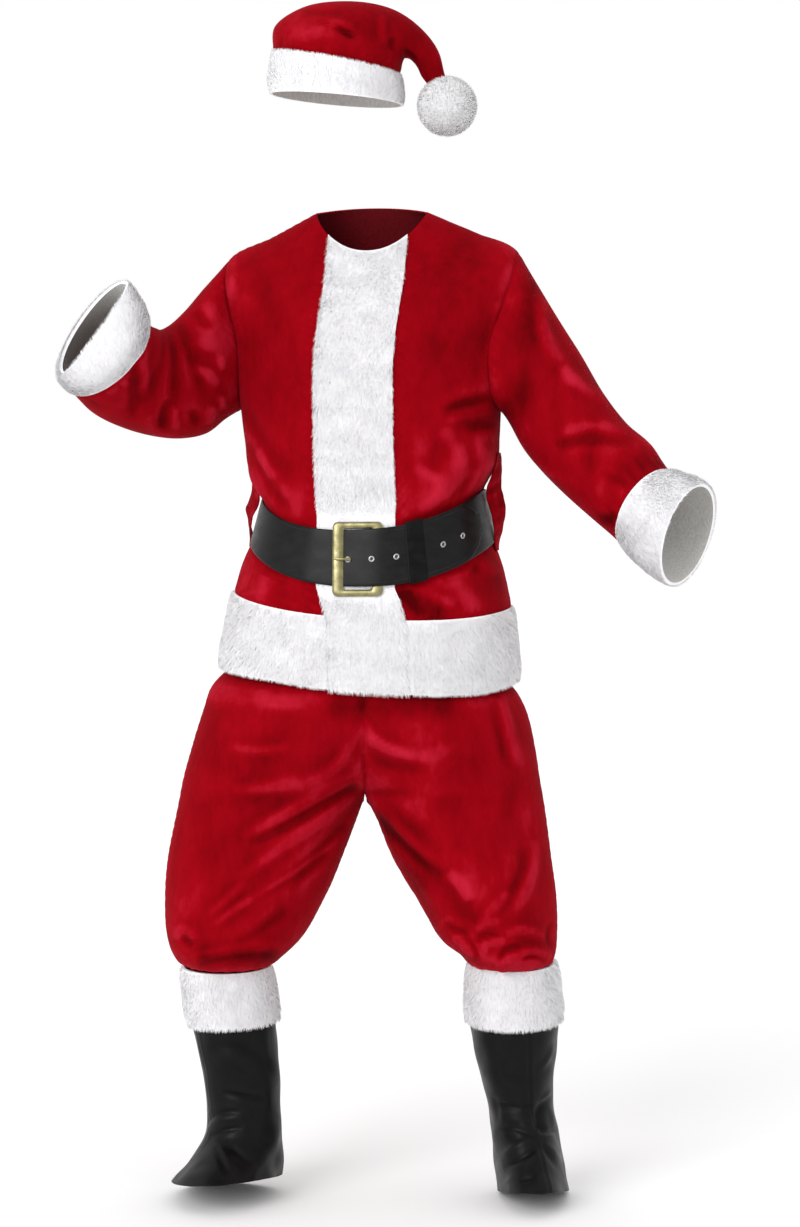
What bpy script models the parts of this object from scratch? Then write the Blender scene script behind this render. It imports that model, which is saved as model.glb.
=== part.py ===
"""A plush costume suit in its worn form: a floppy hat, a belted jacket, breeches and boot tops.

Tables and functions are in millimetres; MM turns them into metres where a mesh is made. +Z is up, the front
faces -Y and +X is the wearer's left. The origin is the middle of the jacket's neck opening. Each cloth
piece is a thin wall: a grid of points on its outer face, moved in along normals that it shares with the
pieces that it is sewn to, so that seams meet edge to edge.
"""

from collections import namedtuple
from math import radians

import bpy
import numpy as np

MM = 0.001
CLOTH = 2.5  # wall of the red plush, with its backing
BOOT_CLOTH = 1.6
SEAM_GAP = 0.3
EDGE_DRAW = 0.7 * SEAM_GAP  # how far a piece's edge is drawn in from its seam
PANEL_DRAW = 1.3 * SEAM_GAP  # the same where panels meet a sleeve, which bends sharply there
SLEEVE_DRAW = 2 * SEAM_GAP
PILE = 8.0  # how far white plush stands out of the red cloth beside it
PRESSED_PILE = 2.2  # the same plush under the belt and its buckle
STRAP = 2.5
BELT_PRESS = 18  # how far above and below the belt the plush stays pressed
TINY = 1e-9

# ---------------------------------------------------------------- tables

# A closed ring of the jacket: its height at the sides, front and back, its plan, how far it is turned to the
# wearer's right, how much higher the right side is, and how square its plan is. "up" is measured up the side.
JacketRing = namedtuple(
    "JacketRing", "up z_side z_front z_back centre_x half_width y_front y_back turn roll square"
)
JACKET = (
    JacketRing(0, -738, -754, -745, -1, 238, -176, 152, 0, 14, 2.3),
    JacketRing(60, -680, -698, -686, 2, 230, -174, 148, 2, 13, 2.3),
    JacketRing(118, -620, -640, -628, 5, 221, -170, 142, 4, 12, 2.3),
    JacketRing(165, -566, -612, -576, 5, 208, -167, 133, 7, 4, 2.3),
    JacketRing(210, -529, -592, -536, 6, 193, -164, 126, 10, 1, 2.35),
    JacketRing(295, -452, -503, -446, 7, 175, -149, 118, 11, -6, 2.35),
    JacketRing(340, -407, -460, -404, 7, 196, -150, 128, 11, -2, 2.35),
    JacketRing(395, -362, -400, -360, 4, 203, -147, 132, 11, 0, 2.4),
    JacketRing(450, -316, -330, -314, 2, 207, -143, 132, 11, 0, 2.5),
    JacketRing(560, -214, -240, -208, 2, 220, -138, 124, 11, 0, 2.5),
    JacketRing(690, -76, -168, -96, 6, 231, -124, 108, 10, -4, 2.4),
    JacketRing(770, -42, -122, -50, 6, 160, -104, 92, 8, -3, 2.2),
    JacketRing(845, -8, -72, 2, 4, 88, -80, 64, 6, 0, 2.1),
)
SIDE_RISE_POWER = 1.6  # how a ring's height goes from side to front or back
CHEST_MIDDLE_Z = -260
HEM_SEAM = 118
BELT_LOW = 210
BELT_TOP = 295
ARMHOLE_LOW = 450
ARMHOLE_TOP = 690
ARMHOLE_TURN = 27  # half of an armhole, in degrees round the ring
NECK = 845
PLACKET_HALF = 62

# A hoop of a tube: its two outline points seen from the front, how far forward its middle is, how far its
# front and back stand from that middle, and how many degrees its opening is turned to face forward.
Hoop = namedtuple("Hoop", "top_x top_z low_x low_z mid_y front back face")
SLEEVE_LEFT = (
    Hoop(300, -180, 222, -342, -34, 88, 88, 6),
    Hoop(331, -230, 243, -380, -42, 88, 88, 10),
    Hoop(366, -292, 274, -418, -54, 86, 86, 16),
    Hoop(402, -340, 312, -456, -74, 82, 82, 24),
    Hoop(438, -372, 353, -492, -98, 78, 78, 30),
    Hoop(469, -415, 395, -528, -122, 74, 74, 33),
)
CUFF_LEFT = (
    Hoop(485, -420, 416, -548, -136, 76, 76, 34),
    Hoop(500, -424, 440, -568, -150, 76, 76, 34),
    Hoop(517, -434, 468, -586, -166, 74, 74, 33),
)
SLEEVE_RIGHT = (
    Hoop(-262, -124, -230, -334, 24, 86, 86, 5),
    Hoop(-293, -163, -262, -358, -4, 84, 86, 12),
    Hoop(-321, -190, -313, -364, -46, 80, 84, 20),
    Hoop(-333, -191, -380, -348, -98, 76, 80, 27),
    Hoop(-338, -187, -430, -320, -144, 76, 78, 31),
    Hoop(-341, -181, -457, -286, -182, 76, 74, 33),
)
CUFF_RIGHT = (
    Hoop(-346, -162, -462, -278, -204, 68, 72, 32),
    Hoop(-354, -144, -466, -270, -224, 48, 66, 30),
    Hoop(-364, -126, -462, -260, -244, 20, 60, 28),
)

HAT_BAND = (
    Hoop(-156, 178, 52, 160, 0, 112, 112, 0),
    Hoop(-157, 208, 51, 184, 0, 111, 111, 0),
    Hoop(-152, 244, 48, 206, 0, 106, 106, 0),
)
HAT_CROWN = (
    HAT_BAND[-1],
    Hoop(-149, 283, 51, 223, 0, 101, 101, 0),
    Hoop(-106, 312, 54, 232, -2, 84, 84, 0),
    Hoop(-34, 322, 58, 234, -4, 66, 66, 0),
    Hoop(36, 310, 66, 230, -6, 48, 48, 4),
    Hoop(85, 276, 76, 218, -10, 32, 32, 8),
    Hoop(110, 240, 83, 203, -14, 22, 22, 10),
    Hoop(117, 211, 90, 194, -18, 15, 15, 10),
    Hoop(122, 192.9, 97.6, 183, -21, 13, 13, 10),
)

# A ring of a boot top, from its knee down: outline points at its two sides, how far its front and back reach,
# and the height and sideways shift of its front.
BootRing = namedtuple("BootRing", "down out_x out_z in_x in_z y_front y_back z_front z_back front_x")
BOOT_RIGHT = (
    BootRing(0, -300, -1215, -165, -1214, -67, 69, -1215, -1215, -233),
    BootRing(100, -287, -1316, -153, -1308, -62, 66, -1312, -1312, -220),
    BootRing(170, -271, -1386, -148, -1378, -58, 60, -1382, -1384, -212),
    BootRing(230, -265, -1444, -145, -1440, -60, 56, -1440, -1446, -208),
    BootRing(282, -268, -1494, -143, -1492, -72, 56, -1484, -1502, -212),
    BootRing(325, -292, -1533, -141, -1530, -106, 60, -1512, -1550, -230),
    BootRing(362, -318, -1565, -143, -1557, -146, 66, -1538, -1588, -250),
)
BOOT_LEFT = (
    BootRing(0, 295, -1206, 163, -1207, -92, 42, -1207, -1207, 230),
    BootRing(100, 304, -1306, 161, -1308, -92, 40, -1308, -1308, 232),
    BootRing(175, 299, -1378, 175, -1380, -84, 34, -1380, -1382, 236),
    BootRing(230, 296, -1432, 189, -1436, -82, 30, -1434, -1440, 242),
    BootRing(282, 304, -1484, 196, -1488, -98, 32, -1476, -1498, 250),
    BootRing(325, 312, -1528, 200, -1533, -124, 36, -1510, -1548, 258),
    BootRing(370, 322, -1583, 206, -1585, -165, 42, -1546, -1589, 266),
)
BOOT_BAND_END = 92  # how far down the boot its white band reaches

# The seat of the trousers, one ring from hip to hip: its opening is how far each half still stands open at
# the centre seams, 90 degrees where it is a plain half ring and 0 at the crotch.
SeatRing = namedtuple("SeatRing", "down z right_x left_x y_front y_back opening roll")
SEAT = (
    SeatRing(0, -470, -161, 180, -129, 108, 90, 0),
    SeatRing(38, -508, -168, 188, -135, 113, 90, 0),
    SeatRing(130, -600, -188, 202, -141, 116, 90, 3),
    SeatRing(228, -698, -208, 210, -152, 126, 88, 12),
    SeatRing(270, -740, -225, 221, -158, 132, 84, 12),
    SeatRing(300, -768, -254, 238, -168, 134, 78, 6),
    SeatRing(325, -794, -265, 248, -168, 132, 72, 0),
    SeatRing(400, -868, -288, 266, -156, 124, 50, 0),
    SeatRing(440, -908, -299, 272, -146, 118, 30, 0),
)
CENTRE_X = -8
WAISTBAND_END = 38

# A ring of one trouser leg, below the crotch.
LegRing = namedtuple("LegRing", "down out_x out_z in_x in_z y_front y_back")
LEG_RIGHT = (
    LegRing(478, -307, -948, CENTRE_X, -932, -136, 114),
    LegRing(520, -316, -990, -22, -976, -132, 116),
    LegRing(560, -324, -1030, -40, -1024, -130, 118),
    LegRing(630, -330, -1100, -70, -1096, -130, 120),
    LegRing(686, -327, -1156, -106, -1158, -124, 112),
    LegRing(720, -318, -1186, -136, -1188, -112, 98),
    LegRing(744, -304, -1204, -156, -1204, -88, 84),
    LegRing(760, -292, -1209, -172, -1209, -60, 62),
    LegRing(772, -291.5, -1220, -171.5, -1220, -58.6, 60.6),
    LegRing(800, -288.7, -1248, -169.3, -1248, -58.8, 60.8),
)
LEG_LEFT = (
    LegRing(478, 279, -948, CENTRE_X, -932, -142, 112),
    LegRing(520, 285, -990, 12, -976, -142, 110),
    LegRing(560, 290, -1030, 31, -1024, -144, 106),
    LegRing(630, 299, -1100, 72, -1096, -146, 98),
    LegRing(686, 300, -1152, 112, -1156, -140, 86),
    LegRing(720, 297, -1178, 145, -1180, -132, 74),
    LegRing(744, 290, -1194, 160, -1196, -108, 58),
    LegRing(760, 286, -1200, 174, -1202, -84, 34),
    LegRing(772, 286, -1212, 173, -1212, -82, 32),
    LegRing(800, 288, -1240, 172, -1242, -82, 32),
)

# How far a piece of white plush stands out, across its width.
Pile = namedtuple("Pile", "across proud")
HEM_PILE = (Pile(0, 5.0), Pile(0.15, PILE), Pile(0.85, PILE), Pile(1, 6.0))
PLACKET_PILE = (
    Pile(0, PILE),
    Pile(BELT_LOW - 44, PILE),
    Pile(BELT_LOW - BELT_PRESS, PRESSED_PILE),
    Pile(BELT_TOP, PRESSED_PILE),
    Pile(BELT_TOP + BELT_PRESS, 0.4 * PRESSED_PILE),
    Pile(BELT_TOP + 46, PILE),
    Pile(NECK, PILE),
)

# The largest folds, as soft troughs and ridges from one place to another on a piece: "along" and "round" are
# the piece's own, in the units of its grid, and depth is positive where the cloth stands out.
Fold = namedtuple("Fold", "along_0 round_0 along_1 round_1 depth width")
JACKET_FOLDS = (
    Fold(300, 60, 352, 48, 7, 26),
    Fold(300, 36, 350, 30, -6, 24),
    Fold(300, 128, 360, 134, -7, 26),
    Fold(300, 152, 352, 160, 7, 26),
    Fold(300, 210, 356, 204, -7, 28),
    Fold(300, 240, 350, 244, 6, 28),
    Fold(300, 288, 360, 284, -7, 28),
    Fold(300, 320, 352, 326, 6, 28),
    Fold(430, 30, 380, 64, -6, 26),
    Fold(440, 152, 380, 122, -6, 26),
    Fold(120, 138, 204, 132, 5, 26),
    Fold(120, 40, 204, 50, 5, 26),
    Fold(120, 230, 204, 238, 6, 28),
    Fold(120, 305, 204, 298, 6, 28),
)
SLEEVE_LEFT_FOLDS = (
    Fold(0.10, 205, 0.95, 175, 5, 22),
    Fold(0.30, 120, 0.62, 60, -6, 20),
    Fold(0.55, 150, 0.80, 70, -7, 20),
    Fold(0.72, 130, 0.96, 40, 6, 20),
    Fold(0.28, 255, 0.60, 300, -6, 22),
    Fold(0.60, 240, 0.85, 320, -6, 22),
)
SLEEVE_RIGHT_FOLDS = (
    Fold(0.42, 160, 0.30, 60, -7, 20),
    Fold(0.52, 160, 0.55, 40, -8, 20),
    Fold(0.62, 160, 0.78, 60, -7, 20),
    Fold(0.42, 200, 0.36, 300, -7, 22),
    Fold(0.60, 200, 0.66, 310, -7, 22),
    Fold(0.48, 20, 0.70, 50, 6, 22),
)
LEG_RIGHT_FOLDS = (
    Fold(330, 0.16, 600, 0.34, -7, 34),
    Fold(420, 0.08, 660, 0.22, 7, 34),
    Fold(470, 0.04, 560, 0.14, -7, 26),
    Fold(560, 0.30, 690, 0.42, 7, 36),
    Fold(420, 0.90, 640, 0.74, -7, 36),
    Fold(480, 0.96, 690, 0.86, 7, 34),
)
LEG_LEFT_FOLDS = (
    Fold(280, 0.10, 640, 0.26, 8, 36),
    Fold(330, 0.04, 470, 0.12, -6, 30),
    Fold(500, 0.14, 680, 0.20, -7, 32),
    Fold(420, 0.34, 640, 0.40, -5, 34),
    Fold(420, 0.90, 640, 0.74, -7, 36),
    Fold(480, 0.96, 690, 0.86, 7, 34),
)
# Gathers at the knee: how many round a leg, how deep, and from where to where down it.
KNEE_GATHERS = 14
KNEE_GATHER_DEPTH = 4.0
KNEE_GATHER_TOP = 640
KNEE_GATHER_LOW = 752

# ---------------------------------------------------------------- curves and rings


def hermite(rows, keys, place):
    """Rows read at the given places between their keys, on a smooth curve through them."""
    slopes = np.gradient(rows, keys, axis=0)
    place = np.clip(np.asarray(place, float), keys[0], keys[-1])
    at = np.clip(np.searchsorted(keys, place) - 1, 0, len(keys) - 2)
    missing = (1,) * (rows.ndim - 1)
    width = (keys[at + 1] - keys[at]).reshape(place.shape + missing)
    t = (place - keys[at]).reshape(place.shape + missing) / width
    return (
        (2 * t**3 - 3 * t**2 + 1) * rows[at]
        + (t**3 - 2 * t**2 + t) * width * slopes[at]
        + (3 * t**2 - 2 * t**3) * rows[at + 1]
        + (t**3 - t**2) * width * slopes[at + 1]
    )


def curve(table, place):
    """Each column of a table at the given places, which are measured as its first column is."""
    rows = np.array(table, float)
    return type(table[0])(*np.moveaxis(hermite(rows, rows[:, 0], place), -1, 0))


def power(value, exponent):
    return np.sign(value) * np.abs(value) ** exponent


def unit(vectors):
    return vectors / (np.linalg.norm(vectors, axis=-1, keepdims=True) + TINY)


def steps(*stretches):
    """Places along a table, from (start, end, count) for each stretch."""
    found = [np.linspace(start, end, count, endpoint=False) for start, end, count in stretches]
    return np.concatenate([*found, [stretches[-1][1]]])


def fold_relief(folds, along, round_, along_mm, round_mm):
    """How far the folds lift each place, given how many millimetres a unit of each direction is."""
    relief = np.zeros(np.broadcast(along, round_).shape)
    for fold in folds:
        start = np.array([fold.along_0 * along_mm, fold.round_0 * round_mm])
        run = np.array([fold.along_1 * along_mm, fold.round_1 * round_mm]) - start
        to_a, to_r = along * along_mm - start[0], round_ * round_mm - start[1]
        t = np.clip((to_a * run[0] + to_r * run[1]) / run.dot(run), 0, 1)
        away = np.hypot(to_a - t * run[0], to_r - t * run[1]) / fold.width
        relief += fold.depth * np.exp(-(away**2)) * np.sin(np.pi * (0.15 + 0.7 * t))
    return relief


def jacket_point(around, up):
    """The jacket's outer face: around is 0 at the wearer's left side, 90 in front and 180 at the right."""
    around, up = np.broadcast_arrays(np.asarray(around, float), np.asarray(up, float))
    ring = curve(JACKET, up)
    angle = np.radians(around)
    across, forward = np.cos(angle), np.sin(angle)
    x = ring.half_width * power(across, 2 / ring.square)
    depth = np.where(forward > 0, -ring.y_front, ring.y_back)
    y = -depth * power(forward, 2 / ring.square)
    z_end = np.where(forward > 0, ring.z_front, ring.z_back)
    z = ring.z_side + (z_end - ring.z_side) * np.abs(forward) ** SIDE_RISE_POWER
    z = z - ring.roll * x / ring.half_width
    turn = -np.radians(ring.turn)
    turned_x = x * np.cos(turn) - y * np.sin(turn)
    turned_y = x * np.sin(turn) + y * np.cos(turn)
    return np.stack([ring.centre_x + turned_x, turned_y, z], axis=-1)


DEGREE_MM = 3.2  # one degree round the jacket
FOLD_START = 30  # how far from the belt's edges the jacket's folds reach their depth


def folded_jacket(around, up):
    """The jacket's outer face with its folds."""
    points = jacket_point(around, up)
    step = 0.5
    across = jacket_point(around + step, up) - jacket_point(around - step, up)
    rise = jacket_point(around, up + step) - jacket_point(around, up - step)
    normal = unit(np.cross(rise, across))
    relief = fold_relief(JACKET_FOLDS, up, np.mod(around, 360), 1, DEGREE_MM)
    relief = relief * np.clip(np.maximum(BELT_LOW - up, up - BELT_TOP) / FOLD_START, 0, 1)
    return points + normal * relief[..., None]


def jacket_surface(around, up):
    """The jacket's outer face, pressed straight under the belt."""
    around, up = np.broadcast_arrays(np.asarray(around, float), np.asarray(up, float))
    share = np.clip((up - BELT_LOW) / (BELT_TOP - BELT_LOW), 0, 1)[..., None]
    below = folded_jacket(around, np.minimum(up, BELT_LOW))
    above = folded_jacket(around, np.maximum(up, BELT_TOP))
    pressed = below + (above - below) * share
    under_belt = ((up > BELT_LOW) & (up < BELT_TOP))[..., None]
    return np.where(under_belt, pressed, folded_jacket(around, up))


def placket_half_turn(up):
    """Half of the placket's width, in degrees round the ring."""
    ring = curve(JACKET, up)
    return 90 - np.degrees(np.arccos((PLACKET_HALF / ring.half_width) ** (ring.square / 2)))


def armhole_half_turn(up):
    """Half of the armhole at this height, in degrees round the ring, or 0 above and below it."""
    middle, half = (ARMHOLE_TOP + ARMHOLE_LOW) / 2, (ARMHOLE_TOP - ARMHOLE_LOW) / 2
    return ARMHOLE_TURN * np.sqrt(np.clip(1 - ((up - middle) / half) ** 2, 0, 1))


def hoop_ring(hoop, side, count):
    """Points of a hoop from its low point round its front to its top and back. side is 1 or -1, the way that
    the tube runs on from it."""
    low = np.array([hoop.low_x, hoop.mid_y, hoop.low_z])
    top = np.array([hoop.top_x, hoop.mid_y, hoop.top_z])
    across = (low - top) / 2
    onward = side * unit(np.array([-across[2], 0, across[0]]))
    face = radians(hoop.face)
    forward = np.array([0, -1, 0]) * np.cos(face) - onward * np.sin(face)
    angle = np.arange(count) * 2 * np.pi / count
    depth = np.where(np.sin(angle) > 0, hoop.front, hoop.back) * np.sin(angle)
    return (low + top) / 2 + np.outer(np.cos(angle), across) + np.outer(depth, forward)


def lofted(rings, shares):
    """A grid of points on a smooth skin through rings, at the given shares of its length."""
    rings = np.array(rings)
    gaps = np.linalg.norm(np.diff(rings.mean(axis=1), axis=0), axis=1)
    keys = np.concatenate([[0], np.cumsum(gaps)])
    return hermite(rings, keys, np.asarray(shares) * keys[-1])


def share_of(rings, index):
    """How far along a row of rings one of them is, from 0 to 1."""
    gaps = np.linalg.norm(np.diff(np.array(rings).mean(axis=1), axis=0), axis=1)
    return gaps[:index].sum() / gaps.sum()


def grid_normals(points, wrap):
    """Normals of a grid of points, facing away from the middle of each of its rows."""
    across = np.gradient(points, axis=1)
    if wrap:
        across = (np.roll(points, -1, axis=1) - np.roll(points, 1, axis=1)) / 2
    return unit(np.cross(across, np.gradient(points, axis=0)))


# ---------------------------------------------------------------- cloth with shared seams


class Cloth:
    """Grids of points that meet at seams, and the normals that they share there."""

    def __init__(self):
        self.grids = {}

    def add(self, name, points, core, wrap=False):
        """core is a point for each row that the cloth's outer face looks away from."""
        self.grids[name] = (np.asarray(points, float), np.asarray(core, float), wrap)

    def normals(self):
        total = {}
        for points, core, wrap in self.grids.values():
            right = np.roll(points, -1, axis=1) if wrap else points[:, 1:]
            left = points if wrap else points[:, :-1]
            area = np.cross(right[1:] - left[:-1], left[1:] - right[:-1])
            middle = (right[1:] + left[:-1] + left[1:] + right[:-1]) / 4
            out = middle - ((core[1:] + core[:-1]) / 2)[:, None]
            if (area * out).sum() < 0:
                area = -area
            for corners in (left[:-1], left[1:], right[:-1], right[1:]):
                for corner, share in zip(corners.reshape(-1, 3), area.reshape(-1, 3)):
                    key = tuple(np.round(corner, 2))
                    total[key] = total.get(key, 0) + share
        found = {}
        for name, (points, _, _) in self.grids.items():
            flat = [total[tuple(np.round(point, 2))] for point in points.reshape(-1, 3)]
            found[name] = unit(np.array(flat)).reshape(points.shape)
        return found


def eased(points, wrap, draw):
    """A grid with its edges drawn in, so that a seam has its gap."""
    moved = points.copy()
    moved[0] += unit(points[1] - points[0]) * draw
    moved[-1] += unit(points[-2] - points[-1]) * draw
    if not wrap:
        moved[:, 0] += unit(points[:, 1] - points[:, 0]) * draw
        moved[:, -1] += unit(points[:, -2] - points[:, -1]) * draw
    return moved


# ---------------------------------------------------------------- solids


def material(name, colour, roughness, metallic=0.0):
    made = bpy.data.materials.new(name)
    made.use_nodes = True
    shader = made.node_tree.nodes["Principled BSDF"]
    shader.inputs["Base Color"].default_value = (*colour, 1)
    shader.inputs["Roughness"].default_value = roughness
    shader.inputs["Metallic"].default_value = metallic
    made.diffuse_color = (*colour, 1)
    return made


def make_object(name, points, faces, look):
    """A closed mesh in millimetres becomes a named object in metres, with its faces turned out."""
    points, faces = np.asarray(points, float), np.asarray(faces, int)
    a, b, c = (points[faces[:, i]] for i in range(3))
    if np.einsum("ij,ij->i", a, np.cross(b, c)).sum() < 0:
        faces = faces[:, ::-1]
    mesh = bpy.data.meshes.new(name)
    mesh.from_pydata((points * MM).tolist(), [], faces.tolist())
    mesh.materials.append(look)
    mesh.shade_smooth()
    mesh.set_sharp_from_angle(angle=radians(50))
    made = bpy.data.objects.new(name, mesh)
    made.parent = bpy.data.objects["suit"]
    bpy.context.scene.collection.objects.link(made)
    return made


def quads(corners):
    """Two triangles for each row of four corner numbers."""
    corners = np.asarray(corners).reshape(-1, 4)
    return np.concatenate([corners[:, [0, 1, 2]], corners[:, [0, 2, 3]]])


def rim_quads(corners, points):
    """The same, cut along the shorter diagonal, so that two rims at one seam are cut alike."""
    corners = np.asarray(corners).reshape(-1, 4)
    first = np.linalg.norm(points[corners[:, 0]] - points[corners[:, 2]], axis=1)
    second = np.linalg.norm(points[corners[:, 1]] - points[corners[:, 3]], axis=1)
    turned = (second < first)[:, None]
    return quads(np.where(turned, np.roll(corners, -1, axis=1), corners))


def shell(name, outer, inner, look, wrap=False):
    """A closed wall between two grids of the same shape. A wrapped grid is a tube, open at its ends."""
    rows, columns = outer.shape[:2]
    number = np.arange(rows * columns).reshape(rows, columns)
    inside = number + rows * columns
    last = columns if wrap else columns - 1
    here, there = np.arange(last), (np.arange(last) + 1) % columns
    points = np.concatenate([outer.reshape(-1, 3), inner.reshape(-1, 3)])
    faces = []
    for layer, turned in ((number, False), (inside, True)):
        corners = [layer[:-1][:, here], layer[:-1][:, there], layer[1:][:, there], layer[1:][:, here]]
        side = quads(np.stack(corners, axis=-1))
        faces.append(side[:, ::-1] if turned else side)
    for row, turned in ((0, True), (-1, False)):
        corners = [number[row, here], number[row, there], inside[row, there], inside[row, here]]
        side = rim_quads(np.stack(corners, axis=-1), points)
        faces.append(side[:, ::-1] if turned else side)
    if not wrap:
        for column, turned in ((0, False), (-1, True)):
            corners = [number[:-1, column], number[1:, column], inside[1:, column], inside[:-1, column]]
            side = rim_quads(np.stack(corners, axis=-1), points)
            faces.append(side[:, ::-1] if turned else side)
    faces = np.concatenate(faces)[:, ::-1]
    return make_object(name, points, faces, look)


def wall(name, points, normals, look, out=0.0, thick=CLOTH, wrap=False, draw=EDGE_DRAW):
    """A cloth wall under a grid. out, a number or one for each point, lifts its outer face."""
    lift = np.asarray(out, float)
    lift = lift[..., None] if lift.ndim else lift
    drawn = eased(points, wrap, draw)
    return shell(name, drawn + normals * lift, drawn - normals * thick, look, wrap)


# ---------------------------------------------------------------- jacket

SIDE_COLUMNS = 6
BACK_COLUMNS = 14
PLACKET_COLUMNS = 4
ARMHOLE_ROWS = 10
SLEEVE_ROWS = 12
CUFF_ROWS = 4
HEM_ROWS = 3
SKIRT_ROWS = 2
CHEST_ROWS = 4
SHOULDER_ROWS = 4


def jacket_rows():
    """Heights of the jacket's grid rows, with one at each seam and closer ones round the armhole's ends."""
    middle, half = (ARMHOLE_TOP + ARMHOLE_LOW) / 2, (ARMHOLE_TOP - ARMHOLE_LOW) / 2
    armhole = middle - half * np.cos(np.linspace(0, np.pi, ARMHOLE_ROWS + 1))
    below = steps(
        (0, HEM_SEAM, HEM_ROWS),
        (HEM_SEAM, BELT_LOW - BELT_PRESS, SKIRT_ROWS),
        (BELT_LOW - BELT_PRESS, BELT_LOW, 1),
        (BELT_LOW, BELT_TOP, 1),
        (BELT_TOP, BELT_TOP + BELT_PRESS, 1),
        (BELT_TOP + BELT_PRESS, ARMHOLE_LOW, CHEST_ROWS),
    )
    above = np.linspace(ARMHOLE_TOP, NECK, SHOULDER_ROWS + 1)
    return np.concatenate([below[:-1], armhole[:-1], above])


def between(start, end, count):
    """Columns from one edge to the other, for edges that change from row to row."""
    share = np.linspace(0, 1, count + 1)
    return start[:, None] + (end - start)[:, None] * share


def jacket_grids():
    """The jacket's body as four grids with the same rows, before it is cut at the hem band's seam."""
    up = jacket_rows()
    arm, strip = armhole_half_turn(up), placket_half_turn(up)
    turns = {
        "front_left": between(0 + arm, 90 - strip, SIDE_COLUMNS),
        "placket": between(90 - strip, 90 + strip, PLACKET_COLUMNS),
        "front_right": between(90 + strip, 180 - arm, SIDE_COLUMNS),
        "back": between(180 + arm, 360 - arm, BACK_COLUMNS),
    }
    return up, {name: jacket_surface(turn, up[:, None]) for name, turn in turns.items()}


def jacket_core(up):
    """The middle of the jacket at each height, low enough that the shoulders look away from it."""
    ring = curve(JACKET, up)
    middle_z = np.minimum((ring.z_front + ring.z_back) / 2, CHEST_MIDDLE_Z)
    return np.stack([ring.centre_x, 0 * up, middle_z], axis=-1)


def armhole_ring(side):
    """The armhole's points from its bottom round the front to its top and back. side is 1 for the left."""
    up = jacket_rows()
    start = np.searchsorted(up, ARMHOLE_LOW - 0.01)
    rows = up[start : start + ARMHOLE_ROWS + 1]
    turn = armhole_half_turn(rows)
    middle = 0 if side > 0 else 180
    front = jacket_surface(middle + side * turn, rows)
    back = jacket_surface(np.mod(middle - side * turn, 360), rows)
    return np.concatenate([front, back[-2:0:-1]])


SLEEVE_ROUND_MM = 1.5  # one degree round a sleeve
SLEEVE_FADE = 1 / 8  # the share of a sleeve, at each end, over which its folds die away


def sleeve_grid(side, sleeve, cuff, folds):
    """Rows of points from the armhole to the cuff's end, with a row at the cuff's seam."""
    count = 2 * ARMHOLE_ROWS
    hole = armhole_ring(side)
    rings = [hole, *(hoop_ring(hoop, side, count) for hoop in sleeve + cuff)]
    seam = share_of(rings, len(sleeve))
    shares = np.concatenate(
        [np.linspace(0, seam, SLEEVE_ROWS + 1), np.linspace(seam, 1, CUFF_ROWS + 1)[1:]]
    )
    points = lofted(rings, shares)
    normals = grid_normals(points, True)
    if ((normals * (points - points.mean(axis=1, keepdims=True))).sum()) < 0:
        normals = -normals
    length = np.linalg.norm(np.diff(points.mean(axis=1), axis=0), axis=1).sum()
    turn = np.arange(count) * 360 / count
    relief = fold_relief(folds, (shares / seam)[:, None], turn[None], length * seam, SLEEVE_ROUND_MM)
    near_end = np.minimum(shares / seam, 1 - shares / seam)
    fade = np.clip(near_end / SLEEVE_FADE, 0, 1)
    return points + normals * (relief * fade[:, None])[..., None]


def build_jacket(red, white):
    """The jacket's body, sleeves, cuffs, placket and hem bands. Returns its grids for what lies on it."""
    up, grids = jacket_grids()
    sleeves = {
        "left": sleeve_grid(1, SLEEVE_LEFT, CUFF_LEFT, SLEEVE_LEFT_FOLDS),
        "right": sleeve_grid(-1, SLEEVE_RIGHT, CUFF_RIGHT, SLEEVE_RIGHT_FOLDS),
    }
    cloth = Cloth()
    for name, points in grids.items():
        cloth.add(name, points, jacket_core(up))
    for side, points in sleeves.items():
        cloth.add(side, points, points.mean(axis=1), wrap=True)
    normals = cloth.normals()
    cut = HEM_ROWS
    for name in ("front_left", "front_right", "back"):
        wall(f"jacket_{name}", grids[name][cut:], normals[name][cut:], red, draw=PANEL_DRAW)
        across = curve(HEM_PILE, up[: cut + 1] / HEM_SEAM).proud[:, None]
        across = np.broadcast_to(across, grids[name][: cut + 1].shape[:2])
        band = "hem_band_" + name.replace("front_", "")
        wall(band, grids[name][: cut + 1], normals[name][: cut + 1], white, across)
    proud = np.interp(up, *np.array(PLACKET_PILE).T)[:, None]
    proud = np.broadcast_to(proud, grids["placket"].shape[:2])
    wall("placket", grids["placket"], normals["placket"], white, proud)
    for side, points in sleeves.items():
        out = normals[side]
        last = SLEEVE_ROWS + 1
        wall(f"jacket_sleeve_{side}", points[:last], out[:last], red, wrap=True, draw=SLEEVE_DRAW)
        proud = curve(HEM_PILE, np.linspace(0, 1, CUFF_ROWS + 1)).proud[:, None]
        proud = np.broadcast_to(proud, points[SLEEVE_ROWS:].shape[:2])
        wall(f"cuff_{side}", points[SLEEVE_ROWS:], out[SLEEVE_ROWS:], white, proud, wrap=True)
    return up, grids, normals


# ---------------------------------------------------------------- hat

HAT_COLUMNS = 20
HAT_ROWS = 10
HAT_BAND_ROWS = 3
HAT_PILE_LESS = 2  # how much lower the hat band's plush is than the hem's
POMPOM_AT = (122, -27, 157)
POMPOM_CORE = 36
POMPOM_REACH = 50
POMPOM_LOCKS = 264
SEWN_TURN = 36  # how far round the ball, from where the crown is sewn to it, no lock grows
LOCK_SHORTER = 7  # how much shorter the shortest lock is than the longest
LOCK_SPREAD = 0.618  # the part of the range from one lock's length to the next


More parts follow.
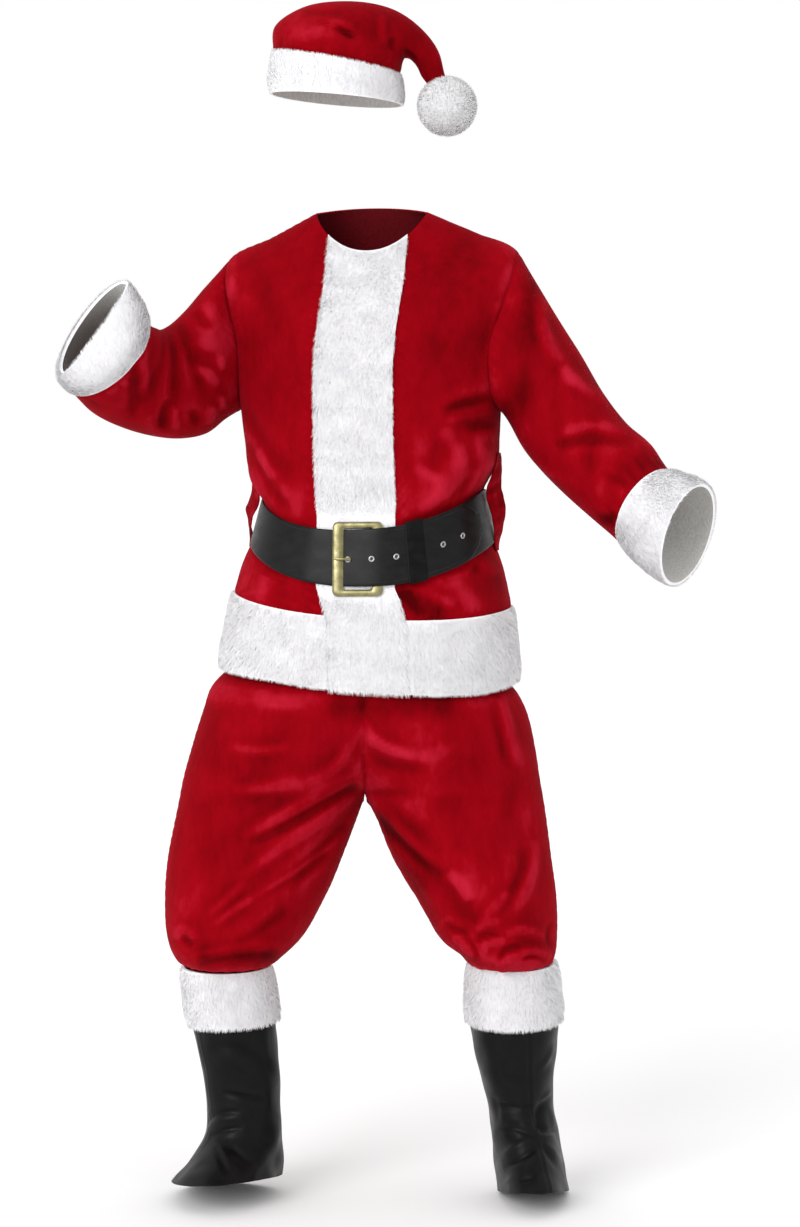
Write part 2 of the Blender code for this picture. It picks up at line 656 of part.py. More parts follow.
def build_hat(red, white):
    """The crown and its band are one run of hoops, cut where the band is sewn on."""
    rings = [hoop_ring(hoop, 1, HAT_COLUMNS) for hoop in HAT_BAND[:-1] + HAT_CROWN]
    seam = share_of(rings, len(HAT_BAND) - 1)
    shares = steps((0, seam, HAT_BAND_ROWS), (seam, 1, HAT_ROWS))
    points = lofted(rings, shares)
    cloth = Cloth()
    cloth.add("hat", points, points.mean(axis=1), wrap=True)
    normals = cloth.normals()["hat"]
    cut = HAT_BAND_ROWS
    proud = curve(HEM_PILE, np.linspace(0, 1, cut + 1)).proud[:, None] - HAT_PILE_LESS
    proud = np.broadcast_to(proud, points[: cut + 1].shape[:2])
    wall("hat_band", points[: cut + 1], normals[: cut + 1], white, proud, wrap=True)
    wall("hat_crown", points[cut:], normals[cut:], red, wrap=True)


def build_pompom(white):
    """A ball of locks: each is a three-sided spike on its own facet of the ball."""
    bpy.ops.mesh.primitive_ico_sphere_add(subdivisions=3, radius=POMPOM_CORE)
    ball = bpy.context.object
    points = [np.array(vertex.co) for vertex in ball.data.vertices]
    facets = [tuple(polygon.vertices) for polygon in ball.data.polygons]
    bpy.data.objects.remove(ball)
    end = HAT_CROWN[-1]
    sewn = np.array([(end.top_x + end.low_x) / 2, end.mid_y, (end.top_z + end.low_z) / 2]) - POMPOM_AT
    order = np.random.default_rng(7).permutation(len(facets))
    faces = []
    for place, index in enumerate(order):
        a, b, c = facets[index]
        middle = (points[a] + points[b] + points[c]) / 3
        under_crown = unit(middle).dot(unit(sewn)) > np.cos(radians(SEWN_TURN))
        if place >= POMPOM_LOCKS or under_crown:
            faces.append((a, b, c))
            continue
        reach = POMPOM_REACH - LOCK_SHORTER * ((place * LOCK_SPREAD) % 1)
        points.append(unit(middle) * reach)
        tip = len(points) - 1
        faces += [(a, b, tip), (b, c, tip), (c, a, tip)]
    make_object("hat_pompom", np.array(points) + POMPOM_AT, faces, white)


# ---------------------------------------------------------------- trousers

LEG_COLUMNS = 28
SEAT_ROWS = 7
LEG_ROWS = 10
SEAT_HALF = 240  # the half width that a seat ring's roll is given at
LEG_ROUND = 760  # once round a leg
LEG_FOLDS_TOP = 300
LEG_FOLDS_LOW = 730
LEG_FOLDS_FADE = 60
CASING = 1.5  # how much the waistband's turned casing adds to each side of the cloth


def trouser_rings(leg, side):
    """Key rings of one half: half rings down to the crotch, then whole ones."""
    share = np.linspace(0, 1, LEG_COLUMNS + 1)
    rings = []
    downs = []
    for seat in SEAT:
        open_ = radians(seat.opening)
        out_x = seat.left_x if side > 0 else seat.right_x
        half = (CENTRE_X - out_x) / (1 + np.cos(open_))
        angle = open_ + share * (2 * np.pi - 2 * open_)
        depth = (seat.y_back - seat.y_front) / 2
        x = out_x + half + half * np.cos(angle)
        y = (seat.y_back + seat.y_front) / 2 - depth * np.sin(angle)
        z = seat.z - seat.roll * (x - CENTRE_X) / SEAT_HALF
        rings.append(np.stack([x, y, z], axis=-1))
        downs.append(seat.down)
    for ring in leg:
        angle = share * 2 * np.pi
        inward = (1 + np.cos(angle)) / 2
        depth = (ring.y_back - ring.y_front) / 2
        x = ring.out_x + (ring.in_x - ring.out_x) * inward
        y = (ring.y_back + ring.y_front) / 2 - depth * np.sin(angle)
        z = ring.out_z + (ring.in_z - ring.out_z) * inward
        rings.append(np.stack([x, y, z], axis=-1))
        downs.append(ring.down)
    return np.array(downs, float), np.array(rings)


def trouser_grid(leg, side, folds):
    """One half's grid: rows go down from the waist, columns from the centre front to the centre back."""
    downs, rings = trouser_rings(leg, side)
    crotch = leg[0].down
    rows = steps(
        (0, WAISTBAND_END, 1), (WAISTBAND_END, crotch, SEAT_ROWS), (crotch, leg[-1].down, LEG_ROWS)
    )
    points = hermite(rings, downs, rows)
    share = np.linspace(0, 1, LEG_COLUMNS + 1)
    normals = grid_normals(points, False)
    if (normals * (points - points.mean(axis=1, keepdims=True))).sum() < 0:
        normals = -normals
    relief = fold_relief(folds, rows[:, None], share[None], 1, LEG_ROUND)
    away = np.sin(np.pi * share) ** 0.5
    near_end = np.minimum(rows - LEG_FOLDS_TOP, LEG_FOLDS_LOW - rows)
    relief = relief * away * np.clip(near_end / LEG_FOLDS_FADE, 0, 1)[:, None]
    reach = (rows - KNEE_GATHER_TOP) / (KNEE_GATHER_LOW - KNEE_GATHER_TOP)
    depth = KNEE_GATHER_DEPTH * np.sin(np.pi * np.clip(reach, 0, 1) ** 2)
    relief = relief + depth[:, None] * np.cos(2 * np.pi * KNEE_GATHERS * share)
    points = points + normals * relief[..., None]
    for row in points[rows < crotch - 1]:
        row[[0, -1], 0] = CENTRE_X
    closed = rows > crotch - 1
    points[closed, -1] = points[closed, 0]
    return rows, points


def build_trousers(red):
    """Four panels and a waistband. Each half is split at its side and at its inner leg."""
    cloth = Cloth()
    grids = {}
    middle = LEG_COLUMNS // 2
    for side, leg, folds in ((1, LEG_LEFT, LEG_LEFT_FOLDS), (-1, LEG_RIGHT, LEG_RIGHT_FOLDS)):
        name = "left" if side > 0 else "right"
        rows, points = trouser_grid(leg, side, folds)
        core = points.mean(axis=1)
        grids[f"front_{name}"] = points[:, : middle + 1]
        grids[f"back_{name}"] = points[:, middle:]
        cloth.add(f"front_{name}", points[:, : middle + 1], core)
        cloth.add(f"back_{name}", points[:, middle:], core)
    normals = cloth.normals()
    for name, points in grids.items():
        wall(f"trouser_{name}", points[1:], normals[name][1:], red)
    order = (("front_left", 1), ("back_left", 1), ("back_right", -1), ("front_right", -1))
    ring = [grids[name][:2, ::turn][:, :-1] for name, turn in order]
    out = [normals[name][:2, ::turn][:, :-1] for name, turn in order]
    wall(
        "trouser_waistband",
        np.concatenate(ring, axis=1),
        np.concatenate(out, axis=1),
        red,
        out=CASING,
        thick=CLOTH + CASING,
        wrap=True,
    )


# ---------------------------------------------------------------- boot tops

BOOT_COLUMNS = 18
BOOT_ROWS = 6
BOOT_BAND_ROWS = 3
BOOT_PILE_MORE = 4  # how much deeper the boot band's plush is than the hem's


def boot_grid(table, downs):
    """Rows of a boot top: 0 is at its outer side, a quarter on is its front."""
    angle = np.arange(BOOT_COLUMNS) * 2 * np.pi / BOOT_COLUMNS
    across, forward = np.cos(angle), np.sin(angle)
    ring = curve(table, downs[:, None])
    middle_x, middle_z = (ring.out_x + ring.in_x) / 2, (ring.out_z + ring.in_z) / 2
    front = np.clip(forward, 0, 1)
    back = np.clip(-forward, 0, 1)
    x = middle_x + (ring.out_x - ring.in_x) / 2 * across + (ring.front_x - middle_x) * front
    y = ring.y_front * front + ring.y_back * back
    z = middle_z + (ring.out_z - ring.in_z) / 2 * across
    z = z + (ring.z_front - middle_z) * front + (ring.z_back - middle_z) * back
    return np.stack([x, y, z], axis=-1)


def build_boot_tops(black, white):
    """Each boot top is a tube with a white band round its top, made from its points, moved out."""
    for side, table in (("left", BOOT_LEFT), ("right", BOOT_RIGHT)):
        downs = steps((0, BOOT_BAND_END, BOOT_BAND_ROWS), (BOOT_BAND_END, table[-1].down, BOOT_ROWS))
        points = boot_grid(table, downs)
        cloth = Cloth()
        cloth.add("boot", points, points.mean(axis=1), wrap=True)
        normals = cloth.normals()["boot"]
        wall(f"boot_top_{side}", points, normals, black, thick=BOOT_CLOTH, wrap=True)
        cut = BOOT_BAND_ROWS + 1
        proud = curve(HEM_PILE, np.linspace(0, 1, cut)).proud + BOOT_PILE_MORE
        outer = points[:cut] + normals[:cut] * proud[:, None, None]
        inner = points[:cut] + normals[:cut] * SEAM_GAP
        shell(f"boot_band_{side}", outer, inner, white, wrap=True)


# ---------------------------------------------------------------- belt

LAP_LIFT = 3.0  # the strap over the placket and under its own free end
FREE_LIFT = 6.0  # the free end over the strap's first turn
PLAIN_LIFT = 0.8  # the strap on red cloth
STRAP_MARGIN = 0.01  # the share of the belt's height left free at each edge of the strap
TIP_ROUND = 30  # how far back from the tip its rounding reaches
TIP_BLUNT = 0.12
BAR = 3.0
BAR_BEVEL = 1.5
OVER_BAR_LIFT = LAP_LIFT + BAR + 1.8  # the free end over the buckle's pivot bar
UNDER_BAR_LIFT = LAP_LIFT + 0.7
ON_STRAP_LIFT = LAP_LIFT + STRAP + 0.9  # what lies on the strap beside the placket
PIVOT_X = (4, 23)
LEFT_BAR_X = (-55, -38)
BUCKLE_MIDDLE_X = -16
BUCKLE_INNER_HALF = 47.5  # half of the frame's opening, up and down
BUCKLE_OUTER_HALF = 58
MIDLINE = 0.475  # how far up the strap the buckle's middle, the prong and the eyelets lie
TIP_X = 168
KEEPER_X = (58, 85)
KEEPER_WALL = 1.5
EYELET_START_X = -31.5
EYELET_PITCH = 38
EYELETS = (0, 1, 2, 4, 5)  # the fourth lies under the keeper
EYELET_SIDES = 10
PRONG_WALL = 2

# How far the strap stands out, from the x of a place on it. The first table is the free end's.
Lift = namedtuple("Lift", "x lift")
FREE_END_LIFTS = (
    Lift(LEFT_BAR_X[1] + 6, LAP_LIFT),
    Lift(PIVOT_X[0] - 1, OVER_BAR_LIFT),
    Lift(PIVOT_X[1] + 4, OVER_BAR_LIFT),
    Lift(PIVOT_X[1] + 22, FREE_LIFT),
    Lift(TIP_X, FREE_LIFT),
)
RIGHT_SIDE_LIFTS = (Lift(-112, PLAIN_LIFT), Lift(-92, LAP_LIFT))

# The prong's stations, from its eyelet to its point over the left bar.
Station = namedtuple("Station", "x lift half_width")
PRONG = (
    Station(-26, ON_STRAP_LIFT + 1.8, 2.4),
    Station(-34, ON_STRAP_LIFT + 3.4, 2.4),
    Station(-40, ON_STRAP_LIFT + BAR + 1.2, 2.2),
    Station(-53, ON_STRAP_LIFT + BAR + 0.8, 1.6),
)

# The rings that an eyelet's section goes through.
EyeletRing = namedtuple("EyeletRing", "radius height")
EYELET_SECTION = (
    EyeletRing(2.2, 0.4),
    EyeletRing(4.8, 0.4),
    EyeletRing(4.2, 1.2),
    EyeletRing(2.6, 1.2),
)


class BeltRun:
    """Places on the jacket's belt rows: how far round, how far up the strap, and how far out."""

    def __init__(self, up, grids, normals):
        rows = (up > BELT_LOW - 1) & (up < BELT_TOP + 1)
        names = ("front_right", "placket", "front_left", "back")
        points = [grids[name][rows][:, ::-1][:, :-1] for name in names]
        out = [normals[name][rows][:, ::-1][:, :-1] for name in names]
        self.points = np.concatenate(points, axis=1)
        self.normals = np.concatenate(out, axis=1)
        self.count = self.points.shape[1]

    def at(self, place, height, lift):
        """place counts columns from the wearer's right side over the front; height is 0 to 1 up the strap."""
        column = int(np.floor(place)) % self.count
        following = (column + 1) % self.count
        t = place - np.floor(place)
        rows = len(self.points) - 1
        row = int(np.clip(np.floor(height * rows), 0, rows - 1))
        s = height * rows - row
        corner = [
            ((1 - t) * (1 - s), row, column),
            (t * (1 - s), row, following),
            ((1 - t) * s, row + 1, column),
            (t * s, row + 1, following),
        ]
        point = sum(share * self.points[r, c] for share, r, c in corner)
        normal = sum(share * self.normals[r, c] for share, r, c in corner)
        return point + unit(normal) * lift

    def place_of(self, x):
        """The place over the front where the strap's middle has this x."""
        low, high = 0.0, float(2 * SIDE_COLUMNS + PLACKET_COLUMNS)
        for _ in range(40):
            middle = (low + high) / 2
            if self.at(middle, 0.5, 0)[0] < x:
                low = middle
            else:
                high = middle
        return low


def build_strap(run, black):
    """One strip: from the buckle round the wearer's left, the back and the right, then through the buckle."""
    turn = run.count
    side = float(2 * SIDE_COLUMNS + PLACKET_COLUMNS)
    start, tip = run.place_of(PIVOT_X[1] + 0.5), turn + run.place_of(TIP_X)
    lifts = [(start, LAP_LIFT), (tip - turn + 0.3, LAP_LIFT), (side + 2.0, PLAIN_LIFT)]
    lifts += [(turn + run.place_of(row.x), row.lift) for row in RIGHT_SIDE_LIFTS + FREE_END_LIFTS]
    places = {place for place, _ in lifts} | set(np.arange(np.ceil(start), tip))
    places |= {turn + run.place_of(TIP_X - back) for back in (4, 12, 26)}
    places = np.array(sorted(places))
    places = places[np.concatenate([[True], np.diff(places) > 0.06])]
    lift = np.interp(places, *np.array(lifts).T)
    tip_back = np.array([TIP_X - run.at(place, 0.5, 0)[0] for place in places])
    rounding = np.sqrt(np.clip(1 - (1 - np.clip(tip_back / TIP_ROUND, 0, 1)) ** 2, TIP_BLUNT, 1))
    near_tip = places > turn + run.place_of(TIP_X - TIP_ROUND)
    half = np.where(near_tip, rounding, 1) * (0.5 - STRAP_MARGIN)
    outer, inner = [], []
    for place, out, reach in zip(places, lift, half):
        heights = (0.5 + reach, 0.5 - reach)
        outer.append([run.at(place, height, out + STRAP) for height in heights])
        inner.append([run.at(place, height, out) for height in heights])
    shell("belt_strap", np.array(outer), np.array(inner), black)


def build_keeper(run, black):
    """A band round both layers of the strap."""
    low, high = LAP_LIFT - 0.4, FREE_LIFT + STRAP + 0.9
    over, wider = 0.01, 0.025
    outer, inner = [], []
    start, end = (run.place_of(x) for x in KEEPER_X)
    for place in sorted({start, end} | set(np.arange(np.ceil(start), end))):
        inside = ((-over, low), (1 + over, low), (1 + over, high), (-over, high))
        inner.append([run.at(place, height, lift) for height, lift in inside])
        low_out, high_out = low - KEEPER_WALL, high + KEEPER_WALL
        outside = ((-wider, low_out), (1 + wider, low_out), (1 + wider, high_out), (-wider, high_out))
        outer.append([run.at(place, height, lift) for height, lift in outside])
    shell("belt_keeper", np.array(outer), np.array(inner), black, wrap=True)


def looped(name, rings, look):
    """A closed ring of metal, through the rings of points that its section goes round."""
    count = len(rings[0])
    faces = []
    for ring in range(len(rings)):
        following = (ring + 1) % len(rings)
        for i in range(count):
            j = (i + 1) % count
            faces.append([ring * count + i, ring * count + j, following * count + j, following * count + i])
    make_object(name, np.concatenate(rings), quads(faces), look)


def build_buckle(run, brass):
    """A rectangular frame: its left bar lies over the strap and its pivot bar under the free end."""
    ends = []
    for bar, lift in ((LEFT_BAR_X, ON_STRAP_LIFT), (PIVOT_X, UNDER_BAR_LIFT)):
        ends.append(run.at(run.place_of(sum(bar) / 2), MIDLINE, lift))
    middle = run.place_of(BUCKLE_MIDDLE_X)
    rise = unit(run.at(middle, 1, 0) - run.at(middle, 0, 0))
    right = unit(ends[1] - ends[0])
    out = unit(np.cross(rise, right))
    out *= -np.sign(out[1])
    between_bars = np.linalg.norm(ends[1] - ends[0]) / 2
    bar_half = (LEFT_BAR_X[1] - LEFT_BAR_X[0]) / 2
    half_inner, half_outer = between_bars - bar_half, between_bars + bar_half
    centre = (ends[0] + ends[1]) / 2

    def loop(half_x, half_z, corner, lift):
        flat = []
        for sx, sz in ((-1, -1), (1, -1), (1, 1), (-1, 1)):
            first = (sx * half_x, sz * (half_z - corner))
            second = (sx * (half_x - corner), sz * half_z)
            flat += [first, second] if sx * sz > 0 else [second, first]
        return [centre + right * a + rise * b + out * lift for a, b in flat]

    bevel = BAR_BEVEL
    rings = [
        loop(half_inner, BUCKLE_INNER_HALF, 2, 0.3),
        loop(half_outer, BUCKLE_OUTER_HALF, 7, 0),
        loop(half_outer - bevel, BUCKLE_OUTER_HALF - bevel, 6, BAR),
        loop(half_inner + bevel, BUCKLE_INNER_HALF + bevel, 3, BAR),
    ]
    looped("belt_buckle", rings, brass)


def build_prong(run, brass):
    """A tapered tongue from the eyelet over the buckle's left bar."""
    outer, inner = [], []
    for station in PRONG:
        place = run.place_of(station.x)
        reach = station.half_width / (2 * BUCKLE_INNER_HALF)
        heights = (MIDLINE - reach, MIDLINE + reach)
        inner.append([run.at(place, height, station.lift) for height in heights])
        outer.append([run.at(place, height, station.lift + PRONG_WALL) for height in heights])
    shell("belt_prong", np.array(outer), np.array(inner), brass)


def build_eyelets(run, silver):
    """Small rings on the free end, one pitch apart along it."""
    start = run.count + run.place_of(EYELET_START_X)
    walk = np.arange(start, start + 14, 0.02)
    line = np.array([run.at(place, MIDLINE, FREE_LIFT) for place in walk])
    length = np.concatenate([[0], np.cumsum(np.linalg.norm(np.diff(line, axis=0), axis=1))])
    angle = np.arange(EYELET_SIDES) * 2 * np.pi / EYELET_SIDES
    for number, index in enumerate(EYELETS):
        place = np.interp(index * EYELET_PITCH, length, walk)
        x = run.at(place, 0.5, 0)[0]
        lift = np.interp(x, *np.array(FREE_END_LIFTS).T) + STRAP
        centre = run.at(place, MIDLINE, lift)
        right = unit(run.at(place + 0.1, MIDLINE, lift) - centre)
        rise = unit(run.at(place, MIDLINE + 0.1, lift) - centre)
        out = unit(np.cross(right, rise))
        out *= np.sign(out.dot(run.at(place, MIDLINE, lift + 1) - centre))
        rings = []
        for row in EYELET_SECTION:
            ring = np.outer(np.cos(angle), right) + np.outer(np.sin(angle), rise)
            rings.append(centre + row.radius * ring + out * (row.height + SEAM_GAP))
        looped(f"belt_eyelet_{number + 1}", rings, silver)


BeltLoop = namedtuple("BeltLoop", "up front back")  # how far each edge stands off the jacket
BELT_LOOP = (
    BeltLoop(362, 1.2, 1.2),
    BeltLoop(350, 1.6, 4),
    BeltLoop(330, 3, 12),
    BeltLoop(310, 6, 24),
    BeltLoop(295, 9, 31),
    BeltLoop(250, 9, 25),
    BeltLoop(224, 8, 14),
    BeltLoop(206, 4, 5),
    BeltLoop(195, 1.2, 1.2),
)
LOOP_HALF_TURN = 5
LOOP_CLOTH = 2.0
LOOP_TURN = {"left": -2, "right": 182}
LOOP_STAND = {"left": 1.0, "right": 1.25}  # the right one stands further off


def build_belt_loops(red):
    """A strip at each side that leaves the jacket above the belt and comes back below it."""
    up = np.array([float(loop.up) for loop in BELT_LOOP])
    for side, middle in LOOP_TURN.items():
        forward = LOOP_HALF_TURN if side == "left" else -LOOP_HALF_TURN
        points = []
        for turn, lift in (
            (middle + forward, [loop.front for loop in BELT_LOOP]),
            (middle - forward, [loop.back for loop in BELT_LOOP]),
        ):
            here = jacket_surface(turn + 0 * up, up)
            ahead, above = jacket_surface(turn + 1 + 0 * up, up), jacket_surface(turn + 0 * up, up + 4)
            normal = unit(np.cross(ahead - here, above - here))
            normal *= np.sign(normal[:, :1] * here[:, :1])
            points.append(here + normal * LOOP_STAND[side] * np.array(lift, float)[:, None])
        points = np.stack(points, axis=1)
        out = unit(np.cross(np.gradient(points, axis=0), points[:, 1:] - points[:, :1]))
        if (out[..., 0] * points[..., 0]).sum() < 0:
            out = -out
        shell(f"belt_loop_{side}", points + out * LOOP_CLOTH, points, red)


# ---------------------------------------------------------------- the suit


def main():
    for old in list(bpy.data.objects):
        bpy.data.objects.remove(old)
    suit = bpy.data.objects.new("suit", None)
    bpy.context.scene.collection.objects.link(suit)
    red = material("red_plush", (0.42, 0.004, 0.012), 0.9)
    white = material("white_plush", (0.86, 0.86, 0.86), 0.95)
    black = material("black_coated_cloth", (0.012, 0.012, 0.013), 0.45)
    boot = material("black_cloth", (0.02, 0.02, 0.022), 0.7)
    brass = material("gilt", (0.75, 0.52, 0.2), 0.3, 1.0)
    silver = material("nickel", (0.7, 0.7, 0.68), 0.3, 1.0)
    build_hat(red, white)
    build_pompom(white)
    up, grids, normals = build_jacket(red, white)
    build_belt_loops(red)
    build_trousers(red)
    build_boot_tops(boot, white)
    run = BeltRun(up, grids, normals)
    build_strap(run, black)
    build_keeper(run, black)
    build_buckle(run, brass)
    build_prong(run, brass)
    build_eyelets(run, silver)


main()
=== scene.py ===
"""The looks of a plush costume suit in its worn form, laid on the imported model.

Tables are in millimetres in the model's frame: +Z is up, the front faces -Y, +X is the wearer's left and the
origin is the middle of the jacket's neck opening. Each cloth piece is a thin shell on the form of its solid,
with finer folds, its seams and a material of its own. White plush is a shell with locks of pile on it.
"""

from collections import namedtuple
from math import atan, hypot, pi, radians

import bpy
import numpy as np
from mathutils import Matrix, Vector


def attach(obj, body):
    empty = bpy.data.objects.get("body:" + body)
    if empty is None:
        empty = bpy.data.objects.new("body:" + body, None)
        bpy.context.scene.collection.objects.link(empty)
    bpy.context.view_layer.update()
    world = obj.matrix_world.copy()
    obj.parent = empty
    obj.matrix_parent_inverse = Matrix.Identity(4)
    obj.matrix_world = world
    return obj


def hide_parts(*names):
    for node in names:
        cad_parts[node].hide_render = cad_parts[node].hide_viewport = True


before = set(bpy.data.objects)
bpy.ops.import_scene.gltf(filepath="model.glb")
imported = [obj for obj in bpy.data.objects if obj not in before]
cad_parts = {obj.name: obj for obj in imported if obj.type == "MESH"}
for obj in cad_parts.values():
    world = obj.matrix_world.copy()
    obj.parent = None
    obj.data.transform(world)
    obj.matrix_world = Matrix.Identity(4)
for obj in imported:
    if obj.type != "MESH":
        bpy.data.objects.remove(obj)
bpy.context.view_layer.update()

MM = 0.001
TINY = 1e-9
CLOTH = 2.5  # wall of the red plush, with its backing
BOOT_CLOTH = 1.6
SEAM_GAP = 0.3
PILE = 8.0  # how far white plush stands out of the red cloth beside it
PRESSED_PILE = 2.2  # the same plush under the belt and its buckle
STRAP = 2.5
BELT_PRESS = 18  # how far above and below the belt the plush stays pressed

# Where each piece's random draws start.
SEEDS = {
    "hem_waver": 9,
    "hem_band_left": 21,
    "hem_band_right": 22,
    "hem_band_back": 23,
    "placket": 31,
    "sleeve_left": 41,
    "sleeve_right": 42,
    "hat_band": 61,
    "pompom_core": 5,
    "pompom": 71,
    "boot_left": 91,
    "boot_right": 92,
    "strap": 17,
    "loop": 33,
}


def rows(kind, *values):
    """A table: the kind of its rows, which names their columns, and then the rows' values."""
    return tuple(kind(*row) for row in values)


# ---------------------------------------------------------------- the forms of the solids

# A closed ring of the jacket: its height at the sides, front and back, its plan, how far it is turned to the
# wearer's right, how much higher the right side is, and how square its plan is. "up" goes up the side.
JacketRing = namedtuple(
    "JacketRing", "up z_side z_front z_back centre_x half_width y_front y_back turn roll square"
)
JACKET = rows(
    JacketRing,
    (0, -738, -754, -745, -1, 238, -176, 152, 0, 14, 2.3),
    (60, -680, -698, -686, 2, 230, -174, 148, 2, 13, 2.3),
    (118, -620, -640, -628, 5, 221, -170, 142, 4, 12, 2.3),
    (165, -566, -612, -576, 5, 208, -167, 133, 7, 4, 2.3),
    (210, -529, -592, -536, 6, 193, -164, 126, 10, 1, 2.35),
    (295, -452, -503, -446, 7, 175, -149, 118, 11, -6, 2.35),
    (340, -407, -460, -404, 7, 196, -150, 128, 11, -2, 2.35),
    (395, -362, -400, -360, 4, 203, -147, 132, 11, 0, 2.4),
    (450, -316, -330, -314, 2, 207, -143, 132, 11, 0, 2.5),
    (560, -214, -240, -208, 2, 220, -138, 124, 11, 0, 2.5),
    (690, -76, -168, -96, 6, 231, -124, 108, 10, -4, 2.4),
    (770, -42, -122, -50, 6, 160, -104, 92, 8, -3, 2.2),
    (845, -8, -72, 2, 4, 88, -80, 64, 6, 0, 2.1),
)
SIDE_RISE_POWER = 1.6  # how a ring's height goes from side to front or back
CHEST_MIDDLE_Z = -260
HEM_SEAM = 118
BELT_LOW = 210
BELT_TOP = 295
ARMHOLE_LOW = 450
ARMHOLE_TOP = 690
ARMHOLE_TURN = 27  # half of an armhole, in degrees round the ring
NECK = 845
PLACKET_HALF = 62

# A hoop of a tube: its two outline points seen from the front, how far forward its middle is, how far its
# front and back stand from that middle, and how many degrees its opening is turned to face forward.
Hoop = namedtuple("Hoop", "top_x top_z low_x low_z mid_y front back face")
SLEEVE_LEFT = rows(
    Hoop,
    (300, -180, 222, -342, -34, 88, 88, 6),
    (331, -230, 243, -380, -42, 88, 88, 10),
    (366, -292, 274, -418, -54, 86, 86, 16),
    (402, -340, 312, -456, -74, 82, 82, 24),
    (438, -372, 353, -492, -98, 78, 78, 30),
    (469, -415, 395, -528, -122, 74, 74, 33),
)
CUFF_LEFT = rows(
    Hoop,
    (485, -420, 416, -548, -136, 76, 76, 34),
    (500, -424, 440, -568, -150, 76, 76, 34),
    (517, -434, 468, -586, -166, 74, 74, 33),
)
SLEEVE_RIGHT = rows(
    Hoop,
    (-262, -124, -230, -334, 24, 86, 86, 5),
    (-293, -163, -262, -358, -4, 84, 86, 12),
    (-321, -190, -313, -364, -46, 80, 84, 20),
    (-333, -191, -380, -348, -98, 76, 80, 27),
    (-338, -187, -430, -320, -144, 76, 78, 31),
    (-341, -181, -457, -286, -182, 76, 74, 33),
)
CUFF_RIGHT = rows(
    Hoop,
    (-346, -162, -462, -278, -204, 68, 72, 32),
    (-354, -144, -466, -270, -224, 48, 66, 30),
    (-364, -126, -462, -260, -244, 20, 60, 28),
)

HAT_BAND = rows(
    Hoop,
    (-156, 178, 52, 160, 0, 112, 112, 0),
    (-157, 208, 51, 184, 0, 111, 111, 0),
    (-152, 244, 48, 206, 0, 106, 106, 0),
)
HAT_CROWN = rows(
    Hoop,
    HAT_BAND[-1],
    (-149, 283, 51, 223, 0, 101, 101, 0),
    (-106, 312, 54, 232, -2, 84, 84, 0),
    (-34, 322, 58, 234, -4, 66, 66, 0),
    (36, 310, 66, 230, -6, 48, 48, 4),
    (85, 276, 76, 218, -10, 32, 32, 8),
    (110, 240, 83, 203, -14, 22, 22, 10),
    (117, 211, 90, 194, -18, 15, 15, 10),
    (122, 192.9, 97.6, 183, -21, 13, 13, 10),
)

# A ring of a boot top, from its knee down: outline points at its two sides, how far its front and back
# reach, and the height and sideways shift of its front.
BootRing = namedtuple("BootRing", "down out_x out_z in_x in_z y_front y_back z_front z_back front_x")
BOOT_RIGHT = rows(
    BootRing,
    (0, -300, -1215, -165, -1214, -67, 69, -1215, -1215, -233),
    (100, -287, -1316, -153, -1308, -62, 66, -1312, -1312, -220),
    (170, -271, -1386, -148, -1378, -58, 60, -1382, -1384, -212),
    (230, -265, -1444, -145, -1440, -60, 56, -1440, -1446, -208),
    (282, -268, -1494, -143, -1492, -72, 56, -1484, -1502, -212),
    (325, -292, -1533, -141, -1530, -106, 60, -1512, -1550, -230),
    (362, -318, -1565, -143, -1557, -146, 66, -1538, -1588, -250),
)
BOOT_LEFT = rows(
    BootRing,
    (0, 295, -1206, 163, -1207, -92, 42, -1207, -1207, 230),
    (100, 304, -1306, 161, -1308, -92, 40, -1308, -1308, 232),
    (175, 299, -1378, 175, -1380, -84, 34, -1380, -1382, 236),
    (230, 296, -1432, 189, -1436, -82, 30, -1434, -1440, 242),
    (282, 304, -1484, 196, -1488, -98, 32, -1476, -1498, 250),
    (325, 312, -1528, 200, -1533, -124, 36, -1510, -1548, 258),
    (370, 322, -1583, 206, -1585, -165, 42, -1546, -1589, 266),
)
BOOT_BAND_END = 92  # how far down the boot its white band reaches

# The seat of the trousers, one ring from hip to hip: its opening is how far each half still stands open at
# the centre seams, 90 degrees where it is a plain half ring and 0 at the crotch.
SeatRing = namedtuple("SeatRing", "down z right_x left_x y_front y_back opening roll")
SEAT = rows(
    SeatRing,
    (0, -470, -161, 180, -129, 108, 90, 0),
    (38, -508, -168, 188, -135, 113, 90, 0),
    (130, -600, -188, 202, -141, 116, 90, 3),
    (228, -698, -208, 210, -152, 126, 88, 12),
    (270, -740, -225, 221, -158, 132, 84, 12),
    (300, -768, -254, 238, -168, 134, 78, 6),
    (325, -794, -265, 248, -168, 132, 72, 0),
    (400, -868, -288, 266, -156, 124, 50, 0),
    (440, -908, -299, 272, -146, 118, 30, 0),
)
CENTRE_X = -8
WAISTBAND_END = 38

